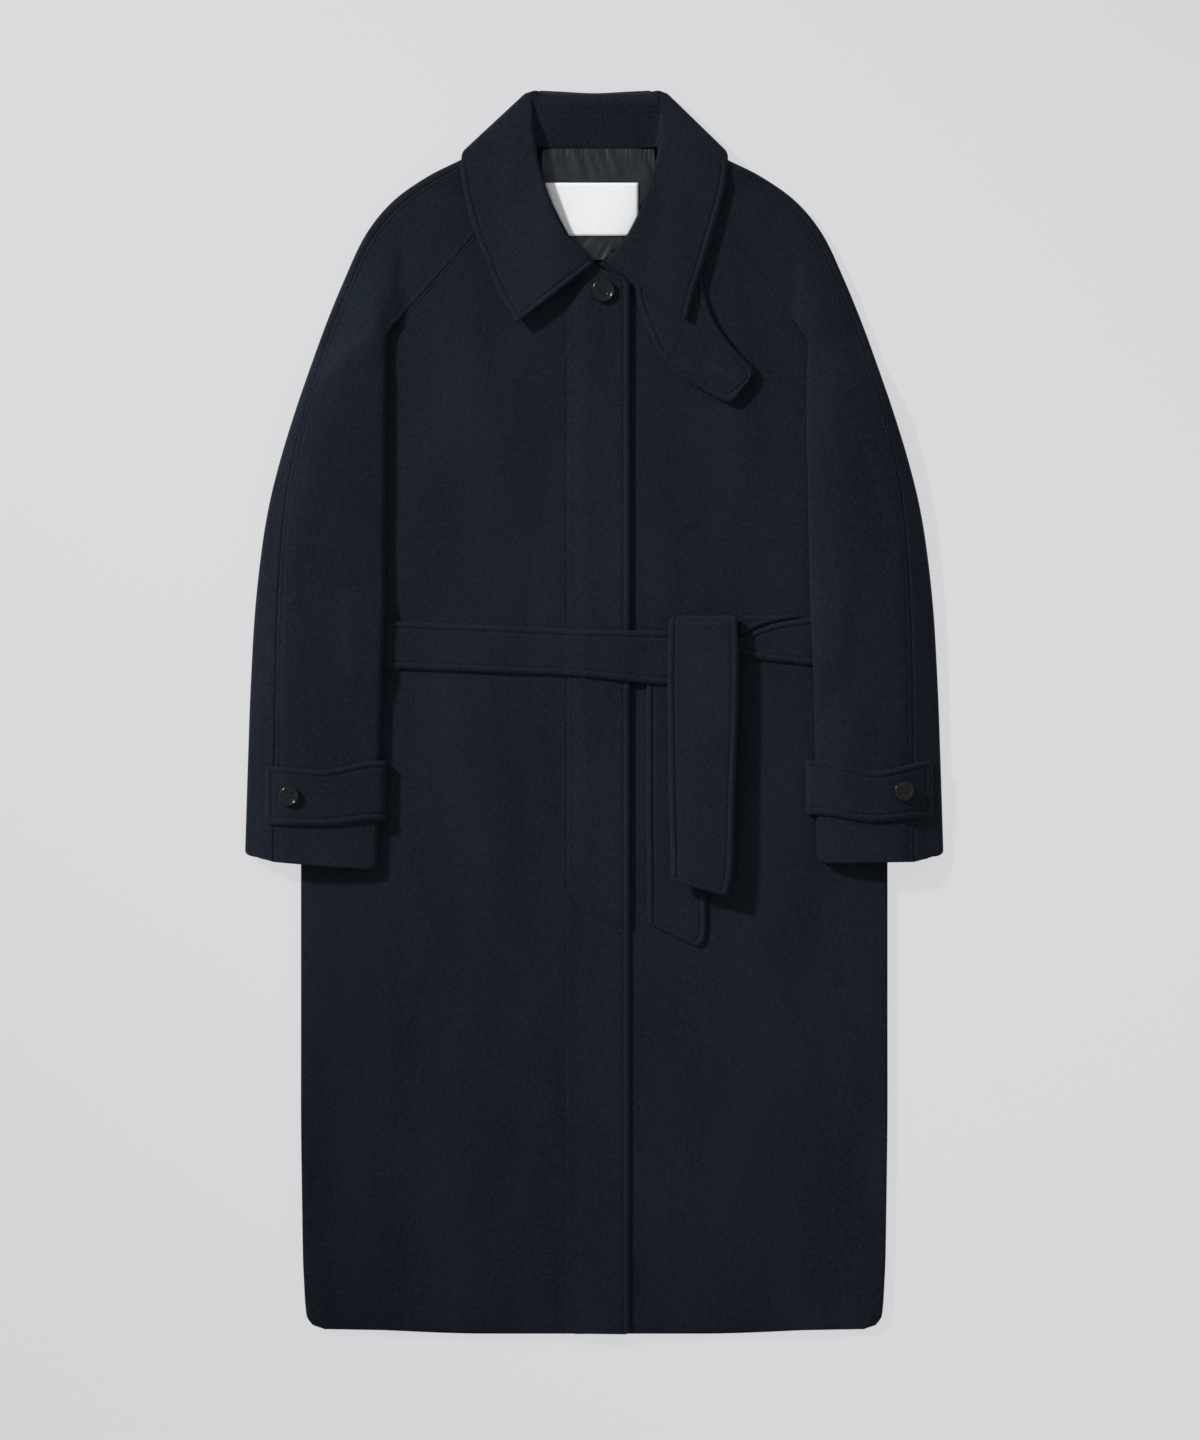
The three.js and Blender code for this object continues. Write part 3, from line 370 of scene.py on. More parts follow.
def bump(distance, width):
    return math.exp(-((distance / width) ** 2))


def read(rows, key, column, at):
    """One column of a table at a value of its key, straight between the rows."""
    rising = rows[-1][key] > rows[0][key]
    i = 0
    while i < len(rows) - 2 and (rows[i + 1][key] < at if rising else rows[i + 1][key] > at):
        i += 1
    t = clamp01((at - rows[i][key]) / (rows[i + 1][key] - rows[i][key]))
    return mix(rows[i][column], rows[i + 1][column], t)


def smooth(rows, column, row):
    """A smooth curve through one column of a table, at a row number between two rows."""
    i = min(len(rows) - 2, int(row))
    before, start, end, after = (rows[min(len(rows) - 1, max(0, k))][column] for k in range(i - 1, i + 3))
    t = row - i
    leave = (end - before) / 2
    arrive = (after - start) / 2
    rise = end - start
    return start + t * (leave + t * (3 * rise - 2 * leave - arrive + t * (leave + arrive - 2 * rise)))


class Lines:
    """Lines across a sheet: some at set distances from either side, and even ones between them."""

    def __init__(self, near, between, far):
        self.near = near
        self.far = tuple(reversed(far))
        self.between = between
        self.count = len(near) + between + len(far)

    def at(self, index, width):
        squeeze = min(1, 0.92 * width / (self.near[-1] + self.far[0]))
        if index < len(self.near):
            return self.near[index] * squeeze
        index -= len(self.near)
        if index < self.between:
            share = (index + 1) / (self.between + 1)
            return mix(self.near[-1] * squeeze, width - self.far[0] * squeeze, share)
        return width - self.far[index - self.between] * squeeze


def rim(d):
    """How far a turned edge has rounded off, d inside it."""
    if d >= EDGE_ROUND:
        return 0
    return EDGE_ROUND - math.sqrt(max(0, EDGE_ROUND**2 - (EDGE_ROUND - max(0, d)) ** 2))


def turned(d):
    """The relief of a turned and topstitched edge, d inside it."""
    fall = EDGE_FALL * max(0, 1 - d / EDGE_FALL_REACH) ** 2
    return PUFF * bump(d - PUFF_IN, PUFF_WIDTH) - GROOVE * bump(d - STITCH_IN, GROOVE_WIDTH) - fall


def round_corner(a, b, radius):
    """Moves a point near a square corner onto a rounded one; a and b are its distances from the edges."""
    if a >= radius or b >= radius:
        return a, b
    pull = max(radius - a, radius - b) / math.hypot(radius - a, radius - b)
    return radius - (radius - a) * pull, radius - (radius - b) * pull


def seam(d):
    """The relief beside a pressed and topstitched seam, d from it."""
    ridge = SEAM_PUFF * bump(d - SEAM_PUFF_IN, SEAM_PUFF_WIDTH)
    groove = SEAM_GROOVE * bump(d - SEAM_STITCH_IN, SEAM_GROOVE_WIDTH)
    return ridge - SEAM_VALLEY * bump(d, SEAM_WIDTH) - groove


# The outer faces of the body
def collar_lift(x, y):
    facts = COLLAR_LIFT_EDGE
    edge = mix(facts["middle"], facts["side"], ease((abs(x) - facts["from"]) / facts["over"]))
    return COLLAR_LIFT * ease((y - edge + COLLAR_LIFT_RAMP + COLLAR_LIFT_MARGIN) / COLLAR_LIFT_RAMP)


def body_folds(x, y):
    height = 0
    for fold in BODY_FOLDS:
        across = bump(x - fold["x"], fold["width"])
        top_fade, bottom_fade = BODY_FOLD_FADES
        along = ease((fold["top"] - y) / top_fade) * ease((y - fold["bottom"]) / bottom_fade)
        height += fold["height"] * across * along
    return height


def side_half(y):
    return read(SIDE, "y", "half", y)


def hem_y(x):
    return SIDE[-1]["y"] - HEM_SAG * ease((300 - abs(x)) / 260)


def body_top(x, y):
    open_cloth = BODY_TOP + body_folds(x, y) + CHEST_RISE * ease((y - CHEST_FROM_Y) / CHEST_OVER)
    from_side = side_half(y) - abs(x) if y < SIDE[0]["y"] else SIDE_ROUND
    inward = min(clamp01(from_side / SIDE_ROUND), clamp01((y - hem_y(x)) / HEM_ROUND))
    rounded = math.sqrt(1 - (1 - inward) ** 2)
    return mix(SIDE_EDGE_TOP, open_cloth, rounded) + collar_lift(x, y)


def left_front_top(x, y):
    open_cloth = body_top(x, y)
    covered = mix(UNDER_EDGE_TOP, UNDER_TOP, ease((x - UNDER_EDGE_X) / UNDER_EDGE_RAMP)) + collar_lift(x, y)
    return mix(min(covered, open_cloth), open_cloth, ease((x - UNDER_FREE_X) / UNDER_FREE_RAMP))


def fly_shift(y):
    """How far the fly's stitching has curved toward the free edge."""
    return max(0, (FLY_CURVE_Y - y) / (FLY_CURVE_Y - FLY_END_Y)) ** 2 * FLY_CURVE_REACH


def right_front_top(x, y):
    fly = FLY_RISE * ease((x - (FLY_STITCH_X - 4) - fly_shift(y)) / FLY_RAMP) * ease((y - FLY_END_Y + 3) / 5)
    overlap = OVERLAP_RISE * ease((x - (UNDER_EDGE_X - 6)) / OVERLAP_RAMP)
    neck = ease((x - NECK_RISE_X) / NECK_RAMP) * ease((NECK_RISE_Y - y) / NECK_RAMP)
    raised = body_top(x, y) + max(fly, overlap) * max(neck, ease((FRONT_RISE_Y - y) / 10))
    if x > UNDER_EDGE_X - 8:
        raised = max(raised, left_front_top(x, y) + WOOL + REST)
    return raised


def front_top(x, y):
    return right_front_top(x, y) if x < FRONT_EDGE_X else left_front_top(x, y)


def raglan(side):
    """The points that the raglan seam shares between a sleeve and a front."""
    points = RAGLAN[side]
    steps = RAGLAN_STEPS // (len(points) - 1)
    found = []
    for start, end in zip(points, points[1:]):
        for k in range(steps):
            found.append({c: mix(start[c], end[c], k / steps) for c in ("out", "y")})
    return [*found, points[-1]]


SEAMS = {side: raglan(side) for side in ("right", "left")}
INNER = {side: SEAMS[side] + INNER_FOLD[side] for side in ("right", "left")}


def sleeve_floor(side, x, y):
    """What a sleeve lies on: the floor beside the body, the body, and the belt."""
    out = abs(x)
    crease = RAGLAN[side][-1]
    edges = [{"y": crease["y"], "half": crease["out"]}, *SIDE]
    body_edge = read(edges, "y", "half", y) if y < crease["y"] else crease["out"]
    on_body = clamp01((body_edge - out + BODY_SLOPE + BODY_MARGIN) / BODY_SLOPE)
    up = ease((crease["y"] + CREASE_UP - y) / CREASE_UP)
    shown = 1 if y < crease["y"] else up * ease((CREASE_ACROSS - (crease["out"] - 2 - out)) / CREASE_ACROSS)
    under = BELT_UNDER_SLEEVE
    belt = ease((y - under["bottom"]) / under["blend"]) * ease((under["top"] - y) / under["blend"])
    belt *= ease((under["reach"] - out) / under["taper"])
    return collar_lift(x, y) + (ON_BODY + BELT_SPACE * belt) * on_body * shown


def sleeve_crown(side, x, y):
    """The arch of a sleeve's upper side between its two folds."""
    reach = CROWN_REACH[side]
    from_inner = clamp01((abs(x) - read(INNER[side], "y", "out", y)) / reach["inner"])
    from_outer = clamp01((read(SLEEVE, "fold_y", "fold_out", y) - abs(x)) / reach["outer"])
    swell = (1 - (1 - from_inner) ** 2) * (1 - (1 - from_outer) ** 2)
    return SLEEVE_CROWN * swell * ease((CROWN_TOP_Y - y) / CROWN_FADE)


def sleeve_crease(side, x, y):
    """The soft crease that carries the inner fold on up over the shoulder."""
    fades = CREASE_FADES
    shown = ease((y - fades["from"]) / fades["over"]) * ease((UPPER_CREASE[side][0]["y"] - y) / fades["top"])
    return CREASE_DEPTH * shown * bump(abs(x) - read(UPPER_CREASE[side], "y", "out", y), CREASE_WIDTH)


def sleeve_top(side, x, y):
    return sleeve_floor(side, x, y) + TUBE + sleeve_crown(side, x, y) - sleeve_crease(side, x, y)


CUFF_ROW_LENGTH = 98
CUFF_CORNERS = (11, 9)


def plan(sign, out, y):
    return Vector((sign * out, y))


def sleeve_row(side, row):
    """Outer fold, seam over the arm and inner edge of a sleeve at a row, and how far it is a tube."""
    sign = -1 if side == "right" else 1
    inner = INNER[side]
    i = min(len(inner) - 2, int(row))
    if row <= RAGLAN_STEPS:
        inner_out = mix(inner[i]["out"], inner[i + 1]["out"], row - i)
    else:
        inner_out = smooth(inner, "out", row)
    from_cuff = (len(SLEEVE) - 1 - row) * CUFF_ROW_LENGTH
    pull, inner_pull = (r * (1 - math.sqrt(1 - clamp01(1 - from_cuff / r) ** 2)) for r in CUFF_CORNERS)
    return {
        "fold": plan(sign, smooth(SLEEVE, "fold_out", row) - pull, smooth(SLEEVE, "fold_y", row)),
        "seam": plan(sign, smooth(SLEEVE, "seam_out", row), smooth(SLEEVE, "seam_y", row)),
        "inner": plan(sign, inner_out + inner_pull, mix(inner[i]["y"], inner[i + 1]["y"], row - i)),
        "rolled": ease(row - RAGLAN_STEPS + 0.5),
    }


# Sheets of cloth
def shell(name, columns, rows, pair, look):
    """A closed sheet of cloth. pair(column, row) gives a point of its face and the one behind it."""
    grid = [[pair(c, r) for c in range(columns)] for r in range(rows)]
    middle = columns // 2
    along = [0.0]
    for lower, upper in zip(grid, grid[1:]):
        along.append(along[-1] + (upper[middle][0] - lower[middle][0]).length)
    across = []
    for line in grid:
        run = [0.0]
        for one, other in zip(line, line[1:]):
            run.append(run[-1] + (other[0] - one[0]).length)
        across.append([u - run[middle] for u in run])
    bm = bmesh.new()
    cloth = bm.loops.layers.uv.new("cloth")
    bmesh.ops.create_grid(bm, x_segments=columns - 1, y_segments=rows - 1, size=1)
    behind = set(bm.verts)
    bmesh.ops.extrude_face_region(bm, geom=list(bm.faces), use_keep_orig=True)
    spot = {}
    for v in bm.verts:
        spot[v] = (round((v.co.x + 1) / 2 * (columns - 1)), round((v.co.y + 1) / 2 * (rows - 1)))
    for v, (c, r) in spot.items():
        face, back = grid[r][c]
        v.co = (back if v in behind else face) * MM
    for f in bm.faces:
        for loop in f.loops:
            c, r = spot[loop.vert]
            loop[cloth].uv = (across[r][c] * MM, along[r] * MM)
    bmesh.ops.recalc_face_normals(bm, faces=list(bm.faces))
    obj = finished(name, bm, look)
    return obj, [[p[0] for p in line] for line in grid]


def mesh_of(name, bm):
    """A bmesh kept as a mesh, and freed."""
    mesh = bpy.data.meshes.new(name)
    bm.to_mesh(mesh)
    bm.free()
    return mesh


def linked(name, data):
    """A new object for a mesh, a lamp or a camera, in the scene."""
    obj = bpy.data.objects.new(name, data)
    bpy.context.scene.collection.objects.link(obj)
    return obj


def finished(name, bm, look):
    """A bmesh as a smooth object at the origin that moves with the coat."""
    for f in bm.faces:
        f.smooth = True
    obj = linked(name, mesh_of(name, bm))
    obj.data.materials.append(look)
    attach(obj, "root")
    return obj


def sheet_pair(x, y, top, cloth, d):
    """A point of a sheet's face and the one under it, rounded off near a turned edge."""
    round_off = rim(d)
    return Vector((x, y, top - round_off)), Vector((x, y, top - cloth + min(round_off, cloth / 2 - 0.1)))


# Topstitching, gathered while the sheets are made and sewn at the end
RUNS = []


def sew(points, lift=0.0):
    RUNS.append([p + Vector((0, 0, lift)) for p in points])


# Node helpers and the finishes
def add(tree, kind, **settings):
    made = tree.nodes.new(kind)
    for name, value in settings.items():
        setattr(made, name, value)
    return made


def wire(tree, start, end):
    tree.links.new(start, end)


def new_group(name, inputs, outputs):
    tree = bpy.data.node_groups.new(name, "ShaderNodeTree")
    for label, kind, value in inputs:
        socket = tree.interface.new_socket(name=label, in_out="INPUT", socket_type=kind)
        if value is not None:
            socket.default_value = value
    for label, kind in outputs:
        tree.interface.new_socket(name=label, in_out="OUTPUT", socket_type=kind)
    return tree, add(tree, "NodeGroupInput"), add(tree, "NodeGroupOutput")


def math_node(tree, operation, one, other):
    made = add(tree, "ShaderNodeMath", operation=operation)
    for socket, value in zip(made.inputs, (one, other)):
        if isinstance(value, (int, float)):
            socket.default_value = value
        else:
            wire(tree, value, socket)
    return made.outputs[0]


def noise_node(tree, vector, scale, detail, roughness):
    made = add(tree, "ShaderNodeTexNoise")
    made.inputs["Scale"].default_value = scale
    made.inputs["Detail"].default_value = detail
    made.inputs["Roughness"].default_value = roughness
    wire(tree, vector, made.inputs["Vector"])
    return made.outputs["Fac"]


def stretched(tree, vector, scale):
    made = add(tree, "ShaderNodeMapping")
    made.inputs["Scale"].default_value = scale
    wire(tree, vector, made.inputs["Vector"])
    return made.outputs["Vector"]


def remapped(tree, value, low, high):
    """A value from 0 to 1 brought between two others."""
    made = add(tree, "ShaderNodeMapRange")
    made.inputs["To Min"].default_value = low
    made.inputs["To Max"].default_value = high
    wire(tree, value, made.inputs["Value"])
    return made.outputs["Result"]


FIBRE_SHARE = 0.62
WOOL_DARK = (0.28, (0.0047, 0.0068, 0.0111))
WOOL_LIGHT = (0.72, (0.0136, 0.0187, 0.0277))
SATIN_DARK = (0.3, (0.0095, 0.0125, 0.0160))
SATIN_LIGHT = (0.7, (0.0165, 0.0205, 0.0255))
LABEL_DARK = (0.0, (0.94, 0.94, 0.94))
LABEL_LIGHT = (1.0, (0.99, 0.99, 0.985))
HORN_DARK = (0.35, (0.0015, 0.002, 0.003))
HORN_LIGHT = (0.7, (0.007, 0.008, 0.0105))
THREAD_DARK = (0.0, (0.008, 0.010, 0.016))
THREAD_LIGHT = (1.0, (0.018, 0.022, 0.034))


def milled_wool_group():
    """Short milled fibres: fine grain, flecks of clumped nap, and slow brushing marks that are partly nap
    mottling and partly painted shade for soft folds.
    """
    tree, enter, leave = new_group(
        "milled wool",
        [
            ("Vector", "NodeSocketVector", None),
            ("Grain", "NodeSocketFloat", 1.0),
            ("Brushing And Painted Shade", "NodeSocketFloat", 1.0),
        ],
        [("Shade", "NodeSocketFloat"), ("Height", "NodeSocketFloat")],
    )
    vector = enter.outputs["Vector"]
    fibres = noise_node(tree, stretched(tree, vector, (1, 0.55, 1)), 820, 3, 0.62)
    clumps = noise_node(tree, stretched(tree, vector, (1, 0.7, 1)), 330, 2, 0.55)
    # Slow lengthwise mottling: partly nap brushing, partly painted shade standing in for the light and dark
    # of soft folds.
    brushed_and_shade_noise = noise_node(tree, stretched(tree, vector, (1, 0.32, 1)), 17, 3, 0.5)

    def sized(value, by):
        return math_node(tree, "MULTIPLY", value, by)

    def centred(value):
        return math_node(tree, "SUBTRACT", value, 0.5)

    grain = math_node(tree, "ADD", sized(fibres, FIBRE_SHARE), sized(clumps, 1 - FIBRE_SHARE))
    even_grain = sized(centred(grain), enter.outputs["Grain"])
    marks_and_painted_shade = sized(centred(brushed_and_shade_noise), enter.outputs["Brushing And Painted Shade"])
    shade = math_node(tree, "ADD", math_node(tree, "ADD", even_grain, marks_and_painted_shade), 0.5)
    wire(tree, shade, leave.inputs["Shade"])
    wire(tree, grain, leave.inputs["Height"])
    return tree


def set_inputs(shader, values):
    for label, value in values.items():
        shader.inputs[label].default_value = value


def blank_material(name):
    material = bpy.data.materials.new(name)
    material.use_nodes = True
    tree = material.node_tree
    tree.nodes.clear()
    shader = add(tree, "ShaderNodeBsdfPrincipled")
    output = add(tree, "ShaderNodeOutputMaterial")
    wire(tree, shader.outputs["BSDF"], output.inputs["Surface"])
    return material, tree, shader


def ramp_node(tree, value, *stops):
    made = add(tree, "ShaderNodeValToRGB")
    ramp = made.color_ramp
    while len(ramp.elements) < len(stops):
        ramp.elements.new(0.5)
    for element, (position, colour) in zip(ramp.elements, stops):
        element.position = position
        element.color = (*colour, 1)
    wire(tree, value, made.inputs["Fac"])
    return made.outputs["Color"]


def bump_node(tree, height, strength, distance):
    made = add(tree, "ShaderNodeBump")
    made.inputs["Strength"].default_value = strength
    made.inputs["Distance"].default_value = distance
    wire(tree, height, made.inputs["Height"])
    return made.outputs["Normal"]


MILLED_WOOL = milled_wool_group()


def wool_material():
    material, tree, shader = blank_material("navy wool")
    coordinates = add(tree, "ShaderNodeTexCoord")
    nap = add(tree, "ShaderNodeGroup", node_tree=MILLED_WOOL)
    # The second value sets the slow mottling, which is partly painted shade for soft folds.
    set_inputs(nap, {"Grain": 1.35, "Brushing And Painted Shade": 0.45})
    wire(tree, coordinates.outputs["Object"], nap.inputs["Vector"])
    colour = ramp_node(tree, nap.outputs["Shade"], WOOL_DARK, WOOL_LIGHT)
    wire(tree, colour, shader.inputs["Base Color"])
    wire(tree, bump_node(tree, nap.outputs["Height"], 0.55, 0.0009), shader.inputs["Normal"])
    set_inputs(shader, {"Roughness": 0.95, "Specular IOR Level": 0.12, "Sheen Weight": 0.05})
    set_inputs(shader, {"Sheen Roughness": 0.45, "Sheen Tint": (0.62, 0.72, 1.0, 1)})
    return material


def lining_material():
    material, tree, shader = blank_material("satin lining")
    coordinates = add(tree, "ShaderNodeTexCoord")
    rib = add(tree, "ShaderNodeTexWave", wave_type="BANDS", bands_direction="DIAGONAL")
    rib.inputs["Scale"].default_value = 900
    rib.inputs["Distortion"].default_value = 0.6
    wire(tree, coordinates.outputs["Object"], rib.inputs["Vector"])
    soft = noise_node(tree, coordinates.outputs["Object"], 60, 2, 0.5)
    colour = ramp_node(tree, soft, SATIN_DARK, SATIN_LIGHT)
    wire(tree, colour, shader.inputs["Base Color"])
    wire(tree, bump_node(tree, rib.outputs["Fac"], 0.12, 0.0002), shader.inputs["Normal"])
    set_inputs(shader, {"Roughness": 0.46, "Specular IOR Level": 0.4})
    return material


def label_material():
    material, tree, shader = blank_material("woven label")
    coordinates = add(tree, "ShaderNodeTexCoord")
    weft = add(tree, "ShaderNodeTexWave", wave_type="BANDS", bands_direction="Y")
    warp = add(tree, "ShaderNodeTexWave", wave_type="BANDS", bands_direction="X")
    for threads, scale in ((weft, 620), (warp, 480)):
        threads.inputs["Scale"].default_value = scale
        wire(tree, coordinates.outputs["Object"], threads.inputs["Vector"])
    weave = math_node(tree, "MULTIPLY", weft.outputs["Fac"], warp.outputs["Fac"])
    colour = ramp_node(tree, weave, LABEL_DARK, LABEL_LIGHT)
    wire(tree, colour, shader.inputs["Base Color"])
    wire(tree, bump_node(tree, weave, 0.25, 0.0002), shader.inputs["Normal"])
    shader.inputs["Roughness"].default_value = 0.6
    return material


def horn_material():
    material, tree, shader = blank_material("dark horn")
    coordinates = add(tree, "ShaderNodeTexCoord")
    marbled = noise_node(tree, stretched(tree, coordinates.outputs["Object"], (1, 2.4, 1)), 210, 4, 0.6)
    colour = ramp_node(tree, marbled, HORN_DARK, HORN_LIGHT)
    wire(tree, colour, shader.inputs["Base Color"])
    fine = noise_node(tree, coordinates.outputs["Object"], 700, 2, 0.5)
    wire(tree, remapped(tree, fine, 0.16, 0.3), shader.inputs["Roughness"])
    set_inputs(shader, {"Specular IOR Level": 0.3, "Coat Weight": 0.2, "Coat Roughness": 0.08})
    return material


def thread_material():
    material, tree, shader = blank_material("sewing thread")
    coordinates = add(tree, "ShaderNodeTexCoord")
    twist = add(tree, "ShaderNodeTexWave", wave_type="BANDS", bands_direction="DIAGONAL")
    twist.inputs["Scale"].default_value = 700
    wire(tree, coordinates.outputs["Object"], twist.inputs["Vector"])
    colour = ramp_node(tree, twist.outputs["Fac"], THREAD_DARK, THREAD_LIGHT)
    wire(tree, colour, shader.inputs["Base Color"])
    set_inputs(shader, {"Roughness": 0.7, "Specular IOR Level": 0.25})
    return material


NAVY_WOOL = wool_material()
SATIN = lining_material()
LABEL_WEAVE = label_material()
HORN = horn_material()
SEWING_THREAD = thread_material()


# The body
FRONT_NEAR = {
    "right": (
        *EDGE_LINES, 17, 21, 25, 29, 33, 37, 41, 45, 49, 52.5, 55.5, 58, 60, 61.3, 62.3, 63, 63.8,
        65, 67, 71, 77,
    ),
    "left": (0, 1, 4, 10, 18, 26, 34, 42, 50, 55, 60, 66, 74, 84),
}


def steps(start, end, count):
    return [mix(start, end, k / count) for k in range(count)]


SIDE_ROW = RAGLAN_STEPS + 1
FLY_ROW = SIDE_ROW + 7
FLY_LAST_ROW = FLY_ROW + 0.75
HEM_ROW = SIDE_ROW + 13
LAST_ROW = SIDE_ROW + len(SIDE) - 1
FRONT_ROWS = [
    *steps(0, RAGLAN_STEPS, 36),
    *steps(RAGLAN_STEPS, FLY_ROW, 72),
    *steps(FLY_ROW, FLY_LAST_ROW, 30),
    *steps(FLY_LAST_ROW, HEM_ROW, 46),
    *steps(HEM_ROW, LAST_ROW, 34),
    LAST_ROW,
]


def front_ends(side, row):
    """The outer and the inner end of a front at a row."""
    sign = -1 if side == "right" else 1
    edge = FRONT_EDGE_X if side == "right" else UNDER_EDGE_X
    if row <= RAGLAN_STEPS:
        i = min(RAGLAN_STEPS - 1, int(row))
        one, other = SEAMS[side][i], SEAMS[side][i + 1]
        outer = plan(sign, mix(one["out"], other["out"], row - i), mix(one["y"], other["y"], row - i))
        inner = Vector((smooth(NECKLINE[side], "x", row), smooth(NECKLINE[side], "y", row)))
        if row > 4:
            inner.x = edge
        return outer, inner
    if row < SIDE_ROW:
        t = row - RAGLAN_STEPS
        start, end = SEAMS[side][-1], SIDE[0]
        outer = plan(sign, mix(start["out"], end["half"], t), mix(start["y"], end["y"], t))
        return outer, Vector((edge, mix(NECKLINE[side][-1]["y"], end["y"], t)))
    place = row - SIDE_ROW
    i = min(len(SIDE) - 2, int(place))
    y = mix(SIDE[i]["y"], SIDE[i + 1]["y"], place - i)
    sag = HEM_SAG * ease((SIDE[-1]["y"] + 80 - y) / 80)
    return plan(sign, smooth(SIDE, "half", place), y), Vector((edge, y - sag))


HEM_CORNER = 6
HEM_CORNER_Y = SIDE[-1]["y"] + 20
FRONT_EDGE_ROW = 3.6
FLY_GROOVE = {"straight": 1.0, "curved": 2.4}
FLY_GROOVE_WIDTH = {"straight": 1.1, "curved": 1.8}


def fly_stitch_distance(x, y):
    """How far a point of the right front is from the fly's stitching."""
    slope = 2 * FLY_CURVE_REACH * max(0, FLY_CURVE_Y - y) / (FLY_CURVE_Y - FLY_END_Y) ** 2
    return abs(x - FLY_STITCH_X - fly_shift(y)) / math.sqrt(1 + slope**2)


def front(side):
    """One front panel, from its raglan seam and side to its neckline and free edge."""
    top = right_front_top if side == "right" else left_front_top
    lines = Lines(FRONT_NEAR[side], 26, SEAM_LINES)

    def pair(c, r):
        row = FRONT_ROWS[r]
        outer, inner = front_ends(side, row)
        across = outer - inner
        on_seam = row <= RAGLAN_STEPS
        width = across.length - (SEAM_GAP / 2 if on_seam else 0)
        d = lines.at(c, width)
        p = inner + across.normalized() * d
        if side == "right" and p.y < HEM_CORNER_Y:
            from_hem = p.y - hem_y(p.x)
            d, up = round_corner(d, max(0, from_hem), HEM_CORNER)
            p = inner + across.normalized() * d + Vector((0, up - max(0, from_hem)))
        z = top(p.x, p.y)
        if on_seam:
            z += seam(width - d) * ease((RAGLAN_STEPS - row) * 3 + 0.4)
        if side == "right" and row > FRONT_EDGE_ROW:
            z += turned(d)
            if FLY_END_Y - 2 < p.y < 400:
                curved = ease((FLY_CURVE_Y - p.y) / 20)
                depth, spread = (mix(*facts.values(), curved) for facts in (FLY_GROOVE, FLY_GROOVE_WIDTH))
                z -= depth * bump(fly_stitch_distance(p.x, p.y), spread)
        edge = min(d, max(0, p.y - hem_y(p.x)))
        if not on_seam:
            edge = min(edge, width - d)
        return sheet_pair(p.x, p.y, z, WOOL, edge)

    obj, face = shell(f"front_{side}", lines.count, len(FRONT_ROWS), pair, NAVY_WOOL)
    seam_column = lines.count - 1 - SEAM_STITCH_LINE
    sew([line[seam_column] for line, row in zip(face, FRONT_ROWS) if row <= RAGLAN_STEPS])
    if side == "right":
        sew([line[STITCH_LINE] for line, row in zip(face, FRONT_ROWS) if row > 4.2])
    return obj


def fly_stitching():
    """The line that holds the fly, straight down and then curving across to the free edge."""
    groove = GROOVE * 0.9
    straight = [(FLY_STITCH_X, mix(384, FLY_CURVE_Y, k / 110)) for k in range(110)]
    heights = [mix(FLY_CURVE_Y, FLY_END_Y, k / 24) for k in range(25)]
    curve = [(FLY_STITCH_X + fly_shift(y), y) for y in heights]
    path = [*straight, *curve, (FRONT_EDGE_X - STITCH_IN, FLY_END_Y - 1)]
    sew([Vector((x, y, right_front_top(x, y) - groove)) for x, y in path])


BACK_NECK_HALF = 47
BACK_TUCKS = (3, 3, 14)


def back():
    """The back lies flat on the floor, and on the collar's back near the neck."""
    rows = [[(-BACK_NECK_HALF, NECK_SEAM_Y - SEAM_GAP), (BACK_NECK_HALF, NECK_SEAM_Y - SEAM_GAP)]]
    gap = SEAM_GAP / 2
    for one, other in zip(SEAMS["right"], SEAMS["left"]):
        rows.append([(gap - one["out"], one["y"]), (other["out"] - gap, other["y"])])
    for row, tuck in zip(rows[RAGLAN_STEPS - 1 : RAGLAN_STEPS + 2], BACK_TUCKS):
        (left_x, left_y), (right_x, right_y) = row
        row[:] = [(left_x - tuck, left_y), (right_x + tuck, right_y)]
    rows += [[(-row["half"], row["y"]), (row["half"], row["y"])] for row in SIDE]
    split = 6
    lines = Lines((0, 0.6, 1.6, 5, 14), 30, (0, 0.6, 1.6, 5, 14))
    last = (len(rows) - 1) * split

    def pair(c, r):
        i = min(len(rows) - 2, r // split)
        t = r / split - i
        start = Vector(rows[i][0]).lerp(Vector(rows[i + 1][0]), t)
        end = Vector(rows[i][1]).lerp(Vector(rows[i + 1][1]), t)
        width = (end - start).length
        d = lines.at(c, width)
        share = d / width
        p = start.lerp(end, share)
        p.y -= HEM_SAG * ease(min(share, 1 - share) / 0.3) * ease((SIDE[-1]["y"] + 80 - p.y) / 80)
        edge = min(d, width - d, 3 * (last - r) / split)
        return sheet_pair(p.x, p.y, collar_lift(p.x, p.y) + WOOL, WOOL, edge)

    return shell("back", lines.count, last + 1, pair, NAVY_WOOL)[0]


# The sleeves
SLEEVE_LAST = len(SLEEVE) - 1
SLEEVE_ROWS = [*steps(0, SLEEVE_LAST - 0.5, 110), *steps(SLEEVE_LAST - 0.5, SLEEVE_LAST - 0.1, 10)]
SLEEVE_ROWS += [*steps(SLEEVE_LAST - 0.1, SLEEVE_LAST, 14), SLEEVE_LAST]


def cuff_rim(row):
    """How far the sleeve's turned hem has rounded off at a row near the cuff."""
    return rim((SLEEVE_LAST - row) * CUFF_ROW_LENGTH)


